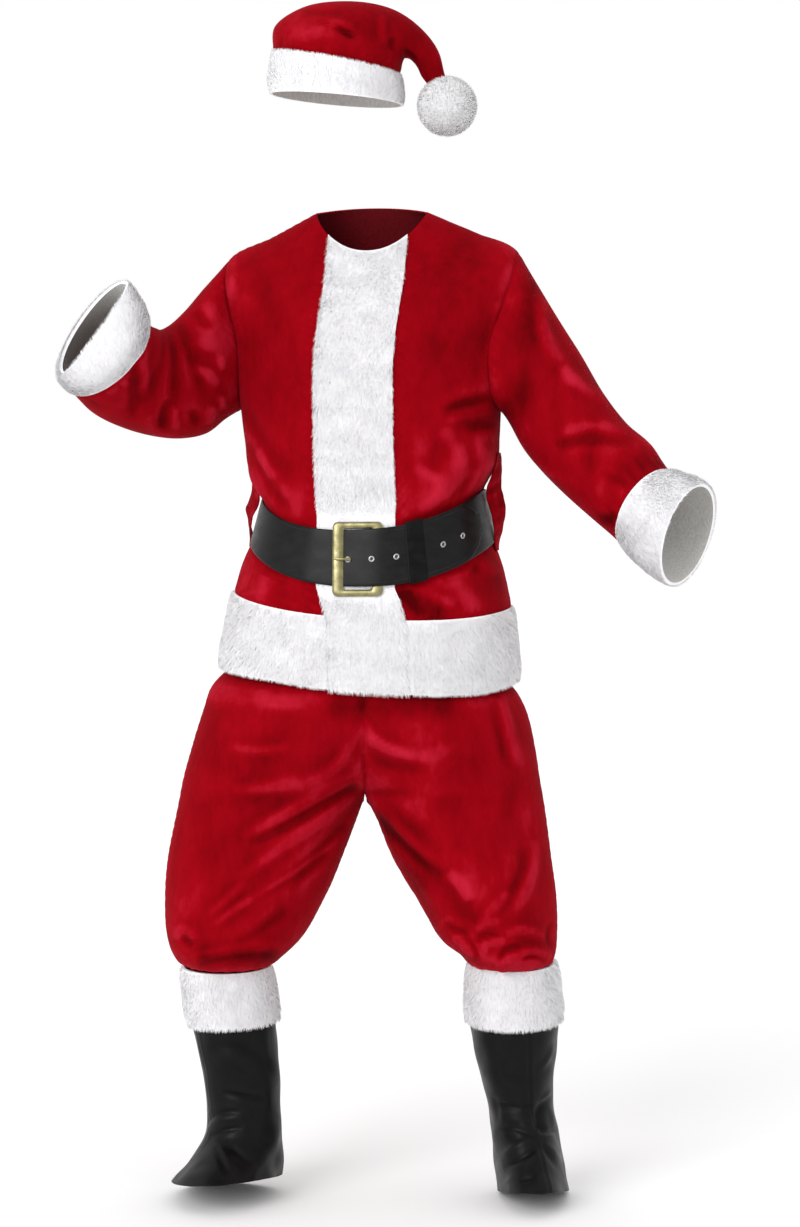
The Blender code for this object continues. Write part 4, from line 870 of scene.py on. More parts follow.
CAMERA_AWAY = 5000
CAMERA_AT = (48, -CAMERA_AWAY, -250)
CAMERA_DROP = 395  # how much lower than the camera the place is that it looks at, at the model
CAMERA_REACH = hypot(CAMERA_AWAY, CAMERA_DROP)
CAMERA_PITCH = atan(CAMERA_DROP / CAMERA_AWAY)
FRAME_MIDDLE = (48, -645.6)  # the middle of the image


def seen(points):
    """Where points lie in the front view, across and up, in millimetres at the model's depth."""
    x, y, z = np.moveaxis(points - np.array(CAMERA_AT, float), -1, 0)
    ahead = y * np.cos(CAMERA_PITCH) - z * np.sin(CAMERA_PITCH)
    rise = y * np.sin(CAMERA_PITCH) + z * np.cos(CAMERA_PITCH)
    scale = CAMERA_REACH / ahead
    return FRAME_MIDDLE[0] + x * scale, FRAME_MIDDLE[1] + rise * scale


CREASE_STEPS = 12
CREASE_REACH = 3  # how many of its widths from its path a crease is still worked out
CREASE_ENDS = 0.7  # under 1, a crease reaches its depth soon after its ends


def crease_relief(creases, across, high):
    """How far a side's creases lift the cloth at each place."""
    relief = np.zeros(across.shape)
    share = np.linspace(0, 1, CREASE_STEPS + 1)[:, None]
    for crease in creases:
        start, through, end = np.array(crease[:6], float).reshape(3, 2)
        bend = 2 * through - (start + end) / 2
        path = (1 - share) ** 2 * start + 2 * share * (1 - share) * bend + share**2 * end
        near = CREASE_REACH * crease.width
        low, top = path.min(axis=0) - near, path.max(axis=0) + near
        close = (across > low[0]) & (across < top[0]) & (high > low[1]) & (high < top[1])
        if not close.any():
            continue
        place = np.stack([across[close], high[close]], axis=-1)[:, None]
        run = np.diff(path, axis=0)
        t = np.clip(((place - path[:-1]) * run).sum(axis=-1) / (run**2).sum(axis=-1), 0, 1)
        away = np.linalg.norm(place - path[:-1] - t[..., None] * run, axis=-1)
        nearest = away.argmin(axis=1)
        pick = np.arange(len(nearest))
        along = (nearest + t[pick, nearest]) / CREASE_STEPS
        fade = np.sin(pi * along) ** CREASE_ENDS
        relief[close] += crease.depth * fade * bell(away[pick, nearest], crease.width)
    return relief


def painted_light_tone(painted_patches, across, high):
    """How much lighter a side's patches of painted shade and highlight look at each place."""
    tone = np.zeros(across.shape)
    for painted_patch in painted_patches:
        start, end = np.array(painted_patch[:4], float).reshape(2, 2)
        run = end - start
        place = np.stack([across, high], axis=-1) - start
        t = np.clip((place * run).sum(axis=-1) / run.dot(run), 0, 1)
        away = np.linalg.norm(place - t[..., None] * run, axis=-1)
        tone += painted_patch.tone * bell(away, painted_patch.width)
    return tone


FACING = (0.02, 0.4)  # how squarely cloth faces a side where that side's tables start to count, and fully do


def two_sided(measure, points, normals, front, back):
    """A measure of the front's table where cloth faces the front, and of the back's where it faces back."""
    ahead = smooth_step(-normals[..., 1], *FACING)
    behind = smooth_step(normals[..., 1], *FACING)
    return ahead * measure(front, *seen(points)) + behind * measure(back, points[..., 0], points[..., 2])


def creased(points, normals, front, back):
    """The relief of the creases that are seen from the front and from the back."""
    return two_sided(crease_relief, points, normals, front, back)


def painted_light(points, normals):
    """How much lighter or darker the pile is painted, in patches of painted shade and highlight."""
    return two_sided(painted_light_tone, points, normals, PAINTED_LIGHT_FRONT, PAINTED_LIGHT_BACK)


GATHER_RISE = 7.0  # how far from its seam a gather takes to stand up
GATHER_WIDTHS = (0.55, 1.45)  # the least and most of each, as shares of the even gather's
GATHER_HEIGHTS = (0.35, 1)
GATHER_REACHES = (0.45, 1)
GATHER_FALL = 1.3  # over 1, a gather dies away softly
GATHER_ROUND = 0.8  # under 1, a gather is round with narrow troughs beside it

# How many gathers go round, how far the highest stands out, how far the longest reaches from its seam, and
# where their random draws start.
Gathers = namedtuple("Gathers", "count depth reach seed")


def gathers(place, away, kind):
    """Uneven rounded ridges with narrow troughs between them, which die away from the seam that gathers
    them. place goes once round from 0 to 1, and away is the distance from the seam."""
    draw = np.random.default_rng(kind.seed)
    ends = np.cumsum(draw.uniform(*GATHER_WIDTHS, kind.count))
    ends /= ends[-1]
    heights = draw.uniform(*GATHER_HEIGHTS, kind.count)
    reaches = kind.reach * draw.uniform(*GATHER_REACHES, kind.count)
    place = np.mod(place, 1)
    ridge = np.minimum(np.searchsorted(ends, place), kind.count - 1)
    starts = np.concatenate([[0], ends[:-1]])
    t = (place - starts[ridge]) / (ends - starts)[ridge]
    rise = 1 - np.exp(-np.clip(away, 0, None) / GATHER_RISE)
    fall = np.clip(1 - away / reaches[ridge], 0, 1) ** GATHER_FALL
    lift = kind.depth * heights[ridge] * np.sin(pi * np.clip(t, 0, 1)) ** GATHER_ROUND * rise * fall
    return np.where(away > 0, lift, 0)


SEAM_SINK = 0.5  # how deep a seam lies, and how far from it the cloth is level again
SEAM_WIDTH = 5.0
PUCKER = 0.7  # how far the puckers beside a seam stand out, how far apart they are and how unevenly
PUCKER_PITCH = 17.0
PUCKER_DRIFT = 1.3
PUCKER_DRIFT_RUN = 31
PUCKER_REACH = 14  # how far from its seam a pucker reaches, and how soon it stands up
PUCKER_RISE = 4


def seam_relief(points, edges):
    """Cloth drawn in along its sewn edges, with small puckers."""
    relief = np.zeros(points.shape[:2])
    run = points.sum(axis=-1)
    pucker = np.sin(2 * pi * run / PUCKER_PITCH + PUCKER_DRIFT * np.sin(run / PUCKER_DRIFT_RUN))
    for edge in edges:
        away = edge_distance(points, edge)
        relief -= SEAM_SINK * np.exp(-away / SEAM_WIDTH)
        relief += PUCKER * pucker * bell(away, PUCKER_REACH) * (1 - np.exp(-away / PUCKER_RISE))
    return relief


WAVES = 7
WAVE_SPREAD = (0.7, 1.5)  # the shortest and longest wave, as shares of the given one
WAVE_SUM = 2.6  # brings the sum of the waves to about 1


def wobble(points, wavelength, seed):
    """A smooth field of three random numbers at each point, about -1 to 1."""
    draw = np.random.default_rng(seed)
    total = np.zeros(points.shape)
    for _ in range(WAVES):
        wave = unit(draw.normal(size=3)) * 2 * pi / (wavelength * draw.uniform(*WAVE_SPREAD))
        total += np.sin((points @ wave)[..., None] + draw.uniform(0, 2 * pi, 3)) / WAVE_SUM
    return total


# ---------------------------------------------------------------- meshes


SHARP_TURN = 50  # an edge stays sharp where its faces turn further than this, in degrees


def laid_out(numbers, kind):
    """Numbers in one run, as Blender takes them."""
    return np.ascontiguousarray(numbers, kind).ravel()


def make_mesh(name, points, faces, looks, look_of=None, nap_and_shade=None, sharp=True):
    """Points in millimetres and faces of 3 or 4 corners become a named object in metres."""
    mesh = bpy.data.meshes.new(name)
    mesh.vertices.add(len(points))
    mesh.vertices.foreach_set("co", laid_out(points * MM, np.float32))
    mesh.loops.add(faces.size)
    mesh.loops.foreach_set("vertex_index", laid_out(faces, np.int32))
    mesh.polygons.add(len(faces))
    mesh.polygons.foreach_set("loop_start", np.arange(0, faces.size, faces.shape[1], dtype=np.int32))
    if look_of is not None:
        mesh.polygons.foreach_set("material_index", laid_out(look_of, np.int32))
    mesh.update(calc_edges=True)
    for look in looks:
        mesh.materials.append(look)
    # each point's painted fold shade and highlight, with any painted or random patches, stored for the
    # material
    if nap_and_shade is not None:
        mesh.attributes.new("nap_and_shade", "FLOAT", "POINT").data.foreach_set("value", laid_out(nap_and_shade, np.float32))
    mesh.shade_smooth()
    if sharp:
        mesh.set_sharp_from_angle(angle=radians(SHARP_TURN))
    made = bpy.data.objects.new(name, mesh)
    bpy.context.scene.collection.objects.link(made)
    return made


def volume_of(points, faces):
    """Six times the volume within the faces, which is negative where they face inward."""
    a, b, c = (points[faces[:, i]] for i in range(3))
    total = np.einsum("ij,ij->i", a, np.cross(b, c)).sum()
    if faces.shape[1] == 4:
        d = points[faces[:, 3]]
        total += np.einsum("ij,ij->i", a, np.cross(c, d)).sum()
    return total


def facing_out(points, faces):
    """The faces of a closed skin, turned to face out."""
    return faces[:, ::-1] if volume_of(points, faces) < 0 else faces


def shell(name, outer, inner, looks, wrap=False, nap_and_shade=None):
    """A closed wall between two grids of the same shape. The second look is its inner face's."""
    count, columns = outer.shape[:2]
    number = np.arange(count * columns).reshape(count, columns)
    inside = number + count * columns
    last = columns if wrap else columns - 1
    here, there = np.arange(last), (np.arange(last) + 1) % columns
    faces, look_of = [], []

    def add(a, b, c, d, turned, look=0):
        """Faces between four rows of points, turned over where turned is true."""
        side = np.stack([a, b, c, d], axis=-1).reshape(-1, 4)
        faces.append(side[:, ::-1] if turned else side)
        look_of.append(np.full(len(side), look))

    for layer, turned, look in ((number, False, 0), (inside, True, len(looks) - 1)):
        upper, lower = layer[:-1], layer[1:]
        add(upper[:, here], upper[:, there], lower[:, there], lower[:, here], turned, look)
    for row, turned in ((0, True), (-1, False)):
        over, under = number[row], inside[row]
        add(over[here], over[there], under[there], under[here], turned)
    if not wrap:
        for column, turned in ((0, False), (-1, True)):
            over, under = number[:, column], inside[:, column]
            add(over[:-1], over[1:], under[1:], under[:-1], turned)
    points = np.concatenate([outer.reshape(-1, 3), inner.reshape(-1, 3)])
    faces = facing_out(points, np.concatenate(faces))
    if nap_and_shade is not None:
        nap_and_shade = np.concatenate([nap_and_shade.ravel(), 0 * nap_and_shade.ravel()])
    return make_mesh(name, points, faces, looks, np.concatenate(look_of), nap_and_shade)


def looped(name, rings, looks):
    """A closed ring, through the rings of points that its section goes round."""
    count = len(rings[0])
    number = np.arange(len(rings) * count).reshape(len(rings), count)
    following, beside = np.roll(number, -1, axis=0), np.roll(number, -1, axis=1)
    corner = np.roll(following, -1, axis=1)
    faces = np.stack([number, beside, corner, following], axis=-1).reshape(-1, 4)
    points = np.concatenate(rings)
    return make_mesh(name, points, facing_out(points, faces), looks)


def placed(piece, slot, *nodes):
    """A piece rides on the suit and stands for its CAD nodes."""
    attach(piece, "root")
    if nodes:
        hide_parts(*nodes)
    return piece


def leaves(name, corners, lit, looks):
    """Locks of white plush, from the three corners of each one and the way that it is lit."""
    faces = np.arange(3 * len(corners)).reshape(-1, 3)
    made = make_mesh(name, corners.reshape(-1, 3), faces, looks, sharp=False)
    made.data.normals_split_custom_set_from_vertices(np.repeat(lit, 3, axis=0).tolist())
    placed(made, "white_plush")


EDGE_DRAW = 0.1  # how far a piece's edges are drawn in, so that a seam has its gap


def eased(points, wrap):
    """A grid with its edges drawn in."""
    moved = points.copy()
    moved[0] += unit(points[1] - points[0]) * EDGE_DRAW
    moved[-1] += unit(points[-2] - points[-1]) * EDGE_DRAW
    if not wrap:
        moved[:, 0] += unit(points[:, 1] - points[:, 0]) * EDGE_DRAW
        moved[:, -1] += unit(points[:, -2] - points[:, -1]) * EDGE_DRAW
    return moved


def cloth_piece(node, points, normals, relief, looks, slot, out=0.0, thick=CLOTH, wrap=False):
    """A thin shell on a grid, lifted by its relief and by out. Returns its outer points."""
    drawn = eased(points, wrap)
    outer = drawn + normals * (relief + out)[..., None]
    inner = drawn + normals * (relief - thick)[..., None]
    # painted shade in the creases and painted highlight on the ridges, none at the seams; red plush adds
    # patches of painted shade and highlight
    nap_and_shade = fold_shade_of(outer, normals, wrap) * seam_calm(points, wrap)
    if slot == "red_plush":
        nap_and_shade = nap_and_shade + painted_light(outer, normals)
    placed(shell(f"{node}_cloth", outer, inner, looks, wrap, nap_and_shade), slot, node)
    return outer


# ---------------------------------------------------------------- pile

LEAN = 1.9  # how far a lock lies down
TUFT = 22.0  # how far apart the tufts are
STRAY = 0.1  # how far the locks of a tuft lean aside together
STRAY_RANDOM = 0.22  # how far each one leans aside by itself
LOCK_LENGTHS = (0.75, 1.1)  # the shortest and longest, as shares of the length asked for
LOCK_WIDTH = 1.08
LOCK_WIDTHS = (0.7, 1.2)  # the narrowest and widest, as shares of that width
LOCK_TWIST = 0.5
LOCK_ROOT = 0.6  # how deep a lock is rooted
LOCK_SHADE = 0.06  # how much of its own lie shows in how a lock is lit
SOFT_PATCHES = 0.02  # how unevenly the pile catches the light, in broad patches
SOFT_PATCH = 1.6 * TUFT
FINE_PATCHES = 0.05  # and in fine ones
FINE_PATCH = 8.0


def pile(name, points, normals, lit, lay, length, wrap, seed):
    """Locks of plush on a grid: each is one thin leaf, rooted in the cloth and laid along lay. It stands
    along normals and is lit as if along lit. length has one value for each point."""
    draw = np.random.default_rng(seed)
    if wrap:
        grids = (points, normals, lit, lay, length)
        points, normals, lit, lay, length = (closed(grid) for grid in grids)
    areas = cell_areas(points)
    count = int(areas.sum() * LOCKS_MM2)
    areas = areas.ravel()
    cell = draw.choice(len(areas), count, p=areas / areas.sum())
    row, column = np.divmod(cell, points.shape[1] - 1)
    s, t = draw.random((2, count))

    def at(grid):
        """A grid's values where the locks are rooted."""
        a, b = grid[row, column], grid[row, column + 1]
        c, d = grid[row + 1, column], grid[row + 1, column + 1]
        u, v = (s[:, None], t[:, None]) if grid.ndim == 3 else (s, t)
        return (a * (1 - u) + b * u) * (1 - v) + (c * (1 - u) + d * u) * v

    root, normal, flow = at(points), unit(at(normals)), at(lay)
    grown = at(length) * draw.uniform(*LOCK_LENGTHS, count)
    stray = wobble(root, TUFT, seed) * STRAY + draw.normal(size=(count, 3)) * STRAY_RANDOM
    direction = unit(normal + flow * LEAN + stray)
    blade = unit(np.cross(direction, normal + draw.normal(size=(count, 3)) * LOCK_TWIST))
    tip = root + direction * grown[:, None]
    half = blade * (LOCK_WIDTH / 2) * draw.uniform(*LOCK_WIDTHS, count)[:, None]
    root = root - direction * LOCK_ROOT
    corners = np.stack([root - half, root + half, tip], axis=1)
    facing = unit(np.cross(corners[:, 1] - corners[:, 0], corners[:, 2] - corners[:, 0]))
    turned = (facing * normal).sum(axis=-1) < 0
    corners[turned] = corners[turned][:, [1, 0, 2]]
    across = unit(normal - direction * (normal * direction).sum(axis=-1, keepdims=True))
    broad, fine = wobble(root, SOFT_PATCH, seed + 1), wobble(root, FINE_PATCH, seed + 2)
    uneven = SOFT_PATCHES * broad + FINE_PATCHES * fine
    leaves(name, corners, unit(at(lit) + LOCK_SHADE * across + uneven), PILE_LOOK)


# ---------------------------------------------------------------- materials


NOISE_MOST = (0.3, 0.7)  # most of a noise's values lie between these


class Look:
    """A material built from nodes round one Principled shader."""

    def __init__(self, name, **numbers):
        self.material = bpy.data.materials.new(name)
        self.material.use_nodes = True
        self.tree = self.material.node_tree
        self.shader = self.tree.nodes["Principled BSDF"]
        self.place = self.node("ShaderNodeTexCoord").outputs["Object"]
        for socket, value in numbers.items():
            self.shader.inputs[socket.replace("_", " ")].default_value = value

    def node(self, kind, **settings):
        """A new node with its settings."""
        made = self.tree.nodes.new(kind)
        for setting, value in settings.items():
            setattr(made, setting, value)
        return made

    def join(self, out, into):
        """Link one node's output to another's input."""
        self.tree.links.new(out, into)

    def put(self, socket, value):
        """Give an input a number, a colour or another node's output."""
        if hasattr(value, "is_output"):
            self.join(value, socket)
        else:
            socket.default_value = value

    def noise(self, scale, detail=2.0, roughness=0.5, stretch=(1, 1, 1)):
        """scale is in waves a metre."""
        mapping = self.node("ShaderNodeMapping")
        mapping.inputs["Scale"].default_value = stretch
        self.join(self.place, mapping.inputs["Vector"])
        made = self.node("ShaderNodeTexNoise")
        made.inputs["Scale"].default_value = scale
        made.inputs["Detail"].default_value = detail
        made.inputs["Roughness"].default_value = roughness
        self.join(mapping.outputs["Vector"], made.inputs["Vector"])
        return made.outputs["Fac"]

    def cells(self, scale, feature="F1"):
        """The distance from the middle of each cell. scale is in cells a metre."""
        made = self.node("ShaderNodeTexVoronoi", feature=feature)
        made.inputs["Scale"].default_value = scale
        self.join(self.place, made.inputs["Vector"])
        return made.outputs["Distance"]

    def maths(self, operation, first, second):
        """A sum or product of two values."""
        made = self.node("ShaderNodeMath", operation=operation)
        self.put(made.inputs[0], first)
        self.put(made.inputs[1], second)
        return made.outputs[0]

    def spread(self, value, low, high, to_low=0.0, to_high=1.0):
        """A value that goes from low to high, made to go from to_low to to_high."""
        made = self.node("ShaderNodeMapRange")
        for socket, number in zip(made.inputs[1:5], (low, high, to_low, to_high)):
            socket.default_value = number
        self.join(value, made.inputs["Value"])
        return made.outputs["Result"]

    def varied(self, noise, low, high):
        """A noise, made to go from low to high."""
        return self.spread(noise, *NOISE_MOST, low, high)

    def ramp(self, value, *stops):
        """stops are (place, colour) pairs."""
        made = self.node("ShaderNodeValToRGB")
        while len(made.color_ramp.elements) < len(stops):
            made.color_ramp.elements.new(0.5)
        for element, (place, colour) in zip(made.color_ramp.elements, stops):
            element.position = place
            element.color = (*colour, 1)
        self.join(value, made.inputs["Fac"])
        return made.outputs["Color"]

    def nap_and_shade(self):
        """Each point's painted shade in the creases and painted highlight on the ridges, with painted or
        random patches.
        """
        return self.node("ShaderNodeAttribute", attribute_name="nap_and_shade").outputs["Fac"]

    def bump(self, height, strength, distance):
        """distance is in millimetres."""
        made = self.node("ShaderNodeBump")
        made.inputs["Strength"].default_value = strength
        made.inputs["Distance"].default_value = distance * MM
        self.join(height, made.inputs["Height"])
        self.join(made.outputs["Normal"], self.shader.inputs["Normal"])

    def colour(self, value):
        """Give the shader its colour."""
        self.put(self.shader.inputs["Base Color"], value)

    def roughness(self, value):
        """Give the shader its roughness."""
        self.put(self.shader.inputs["Roughness"], value)


def red_plush():
    """Short crushed pile, deep in the creases and pinker on the folds' ridges and in patches: painted shade
    and painted highlight.
    """
    look = Look("red_plush_pile", Specular_IOR_Level=0.02, Sheen_Weight=0.07, Sheen_Roughness=0.4)
    look.shader.inputs["Sheen Tint"].default_value = (1.0, 0.08, 0.18, 1)
    patches = look.varied(look.noise(22, 3, 0.6, (1, 1, 0.6)), -0.2, 0.2)
    streaks = look.varied(look.noise(95, 3, 0.65, (1, 1, 0.45)), -0.1, 0.1)
    # painted shade in the creases and painted highlight on the ridges and patches, from the per-point value
    lift = look.maths("MULTIPLY", look.nap_and_shade(), 0.46)
    broad = look.varied(look.noise(7, 2, 0.5), -0.14, 0.14)
    mottled = look.maths("ADD", look.maths("ADD", patches, streaks), broad)
    shade = look.spread(look.maths("ADD", mottled, lift), -1.0, 1.0)
    reds = (
        (0.06, (0.075, 0.0002, 0.0012)),
        (0.40, (0.205, 0.0004, 0.0032)),
        (0.62, (0.275, 0.0008, 0.0052)),
        (0.95, (0.43, 0.010, 0.028)),
    )
    look.colour(look.ramp(shade, *reds))
    look.roughness(0.82)
    fibre = look.maths("ADD", look.noise(1700, 2, 0.6), look.noise(420, 2, 0.5, (1, 1, 0.5)))
    look.bump(fibre, 0.5, 0.5)
    return look.material


def woven_back(name, light, dark):
    """The inside of a pile cloth: a plain knitted ground."""
    look = Look(name, Specular_IOR_Level=0.2)
    ground = look.noise(500, 2, 0.5, (1, 1, 0.3))
    look.colour(look.ramp(ground, (0.3, dark), (0.7, light)))
    look.roughness(0.9)
    look.bump(ground, 0.4, 0.3)
    return look.material


def white_plush():
    """The cloth that the white locks grow from."""
    look = Look("white_plush_ground", Specular_IOR_Level=0.1, Sheen_Weight=0.3)
    look.colour(look.ramp(look.noise(60, 3, 0.6), (0.3, (0.90, 0.89, 0.925)), (0.62, (0.95, 0.945, 0.96))))
    look.roughness(0.95)
    look.bump(look.noise(300, 3, 0.6), 0.6, 2.0)
    return look.material


def white_pile(name, sheen, dark, light):
    """Locks of white plush, darker in patches."""
    look = Look(name, Specular_IOR_Level=0.1, Sheen_Weight=sheen)
    look.colour(look.ramp(look.noise(45, 4, 0.65), (0.3, dark), (0.6, light)))
    look.roughness(look.varied(look.noise(200, 1), 0.85, 0.97))
    return look.material


def belt_cloth(name, gloss):
    """Coated cloth with a fine leather grain, duller where it has been handled."""
    look = Look(name, Specular_IOR_Level=gloss)
    grain = look.cells(900, "SMOOTH_F1")
    scuffs = look.noise(40, 4, 0.6, (1, 1, 2))
    look.colour(look.ramp(scuffs, (0.35, (0.002, 0.002, 0.0024)), (0.75, (0.007, 0.007, 0.0076))))
    look.roughness(look.varied(scuffs, 0.30, 0.46))
    look.bump(grain, 0.35, 0.35)
    return look.material


def boot_cloth():
    """Soft coated cloth with a fine crackle, with painted shade in its creases and painted highlight on its
    ridges.
    """
    look = Look("boot_coating", Specular_IOR_Level=0.12)
    crackle = look.maths("ADD", look.cells(420), look.noise(160, 3, 0.6))
    # painted shade in the creases and painted highlight on the ridges, from the folds' per-point value
    fold_shade = look.spread(look.nap_and_shade(), -1, 1, 0.35, 0.7)
    shade = look.maths("MULTIPLY", fold_shade, look.spread(look.noise(60, 3, 0.6), 0.2, 0.8, 0.8, 1.2))
    look.colour(look.ramp(shade, (0.3, (0.0008, 0.0008, 0.001)), (0.8, (0.006, 0.006, 0.0065))))
    look.roughness(look.varied(look.noise(30, 3, 0.6), 0.30, 0.48))
    look.bump(crackle, 0.3, 0.5)
    return look.material


def metal(name, light, dark, smooth, dull):
    """Plated metal, dulled in patches and finely scratched."""
    look = Look(name, Metallic=1.0)
    patches = look.noise(70, 4, 0.6)
    look.colour(look.ramp(patches, (0.3, dark), (0.7, light)))
    look.roughness(look.varied(patches, dull, smooth))
    look.bump(look.noise(900, 2, 0.5, (1, 1, 0.15)), 0.12, 0.1)
    return look.material


def plain(name, colour, roughness):
    """One colour, a little mottled."""
    look = Look(name)
    look.colour(look.ramp(look.noise(80), (0.3, tuple(c * 0.85 for c in colour)), (0.7, colour)))
    look.roughness(roughness)
    return look.material


def even(name, colour, roughness):
    """One colour without gloss."""
    look = Look(name, Specular_IOR_Level=0.0)
    look.colour((*colour, 1))
    look.roughness(roughness)
    return look.material


RED = [red_plush(), woven_back("red_plush_ground", (0.20, 0.003, 0.008), (0.10, 0.001, 0.004))]
WHITE = [white_plush(), woven_back("white_plush_back", (0.70, 0.69, 0.66), (0.52, 0.51, 0.49))]
PILE_LOOK = [white_pile("white_plush_locks", 0.25, (0.93, 0.92, 0.95), (0.975, 0.97, 0.98))]
POMPOM_LOOK = [white_pile("pompom_locks", 0.9, (0.96, 0.955, 0.97), (0.985, 0.98, 0.99))]
BELT = [belt_cloth("belt_coating", 0.18)]
KEEPER_LOOK = [belt_cloth("keeper_coating", 0.09)]
BELT_BACK = [BELT[0], woven_back("belt_back", (0.05, 0.05, 0.05), (0.02, 0.02, 0.02))]
BOOT = [boot_cloth(), woven_back("boot_back", (0.06, 0.06, 0.06), (0.025, 0.025, 0.025))]
GILT = [metal("antique_gilt", (0.33, 0.30, 0.155), (0.16, 0.142, 0.068), 0.26, 0.42)]
NICKEL = [metal("nickel_plate", (0.52, 0.51, 0.50), (0.25, 0.24, 0.24), 0.22, 0.40)]
# black thread for the stitches; the same black is the painted shade in the eyelets' holes
THREAD_AND_HOLE_SHADE = [plain("black_thread_and_hole_shade", (0.03, 0.03, 0.03), 0.7)]

# ---------------------------------------------------------------- white trims

GROUND_SHARE = 0.4  # how much of a white trim's depth is its cloth; locks fill the rest
LOCKS_MM2 = 0.82  # locks on a square millimetre of white plush
LOCK_SHORTEST = 1.2  # the least depth that locks are grown for
LOCK_MORE = 1.75  # how long locks are for the depth that they fill, as they lie down
LEAN_OUT = 1.1  # how far the locks lean out over an open edge, and how far from it they do
LEAN_REACH = 6.0
SWELL = 0.08  # how far white plush swells, and how far apart its swells are
SWELL_WAVE = 30
FLOW_STRAY = 0.12  # how far the lie of the locks turns aside, and how far apart its turns are
FLOW_WAVE = 45
LINE_WIDTH = 2.6  # how far from a sewn line the locks are pressed, and how far down
LINE_PRESS = 0.65


def flared(points, normals, edges):
    """Normals that lean out over the open edges of a white piece, so that its locks hide them."""
    down, onward = np.gradient(points, axis=0), np.gradient(points, axis=1)
    outward = {"top": -down, "bottom": down, "left": -onward, "right": onward}
    leaning = normals.copy()
    for edge in edges:
        near = np.exp(-edge_distance(points, edge) / LEAN_REACH)[..., None]
        leaning += unit(outward[edge]) * near * LEAN_OUT
    return unit(leaning)


def pile_depth(table, places, points, more=0):
    """How far white plush stands out at each of its points, from a table of its rows' places."""
    return np.broadcast_to(relief_along(table, places)[:, None] + more, points.shape[:2])


def trim_piece(node, points, normals, proud, edges, lay_rows, seed, relief=0.0, wrap=False, lines=()):
    """A white trim: its cloth, and its locks laid along its rows. lay_rows is 1 where they lie towards the
    grid's last row, and lines are the distances from its last row of sewn lines that press the locks."""
    ground = proud * GROUND_SHARE
    soft = wobble(points, SWELL_WAVE, seed)[..., 0] * SWELL * np.clip(proud / PILE, 0, 1)
    outer = cloth_piece(node, points, normals, relief + soft, WHITE, "white_plush", out=ground, wrap=wrap)
    flow = unit(np.gradient(points, axis=0)) * lay_rows
    flow = unit(flow + FLOW_STRAY * wobble(points, FLOW_WAVE, seed + 3))
    length = np.clip(proud - ground, LOCK_SHORTEST, None) * LOCK_MORE
    for line in lines:
        near = bell(edge_distance(points, "bottom") - line, LINE_WIDTH)
        length = length * (1 - LINE_PRESS * near)
    pile(f"{node}_locks", outer, flared(points, normals, edges), normals, flow, length, wrap, seed)


# ---------------------------------------------------------------- jacket

SIDE_COLUMNS = 40
BACK_COLUMNS = 112
PLACKET_COLUMNS = 22
ARMHOLE_ROWS = 48
SLEEVE_ROWS = 56
CUFF_ROWS = 16
HEM_ROWS = 20
SKIRT_ROWS = 16
PRESSED_ROWS = 5
BELT_ROWS = 8
CHEST_ROWS = 28
SHOULDER_ROWS = 30
NEAR_BELT = 6  # how far from the belt the jacket's finer folds begin
NEAR_BELT_FADE = 16
PILE_EASE = 0.45  # how much of the red cloth's creases the white trims follow
PLACKET_EASE = (14, 40)  # how far from the belt the placket starts to follow them, and follows them fully
JACKET_GATHERS = {"above": Gathers(30, 2.4, 60, 11), "below": Gathers(26, 2.2, 50, 12)}
HEM_WAVER = 2.2  # how far the hem's lower edge rises and falls, and how far apart it does
HEM_WAVE = 120
BESIDE_PLACKET = {"front_left": "right", "front_right": "left"}
PLACKET_STEP = 0.4  # how much lower the hem's plush lies beside the placket's edge
PLACKET_STEP_WIDTH = 7.0


def jacket_rows():
    """Heights of the jacket's grid rows, with one at each seam and closer ones round the armhole's ends."""
    middle, half = (ARMHOLE_TOP + ARMHOLE_LOW) / 2, (ARMHOLE_TOP - ARMHOLE_LOW) / 2
    armhole = middle - half * np.cos(np.linspace(0, pi, ARMHOLE_ROWS + 1))
    below = steps(
        (0, HEM_SEAM, HEM_ROWS),
        (HEM_SEAM, BELT_LOW - BELT_PRESS, SKIRT_ROWS),
        (BELT_LOW - BELT_PRESS, BELT_LOW, PRESSED_ROWS),
        (BELT_LOW, BELT_TOP, BELT_ROWS),
        (BELT_TOP, BELT_TOP + BELT_PRESS, PRESSED_ROWS),
        (BELT_TOP + BELT_PRESS, ARMHOLE_LOW, CHEST_ROWS),
    )
    above = np.linspace(ARMHOLE_TOP, NECK, SHOULDER_ROWS + 1)
    return np.concatenate([below[:-1], armhole[:-1], above])


def between(start, end, count):
    """Columns from one edge to the other, for edges that change from row to row."""
    share = np.linspace(0, 1, count + 1)
    return start[:, None] + (end - start)[:, None] * share


def jacket_core(up):
    """The middle of the jacket at each height, low enough that the shoulders look away from it."""
    ring = curve(JACKET, up)
    middle_z = np.minimum((ring.z_front + ring.z_back) / 2, CHEST_MIDDLE_Z)
    return np.stack([ring.centre_x, 0 * up, middle_z], axis=-1)


def armhole_ring(side):
    """The armhole's points from its bottom round the front to its top and back. side is 1 for the left."""
    up = jacket_rows()
    start = np.abs(up - ARMHOLE_LOW).argmin()
    beside = up[start : start + ARMHOLE_ROWS + 1]
    turn = armhole_half_turn(beside)
    middle = 0 if side > 0 else 180
    front = jacket_surface(middle + side * turn, beside)
    back = jacket_surface(np.mod(middle - side * turn, 360), beside)
    return np.concatenate([front, back[-2:0:-1]])


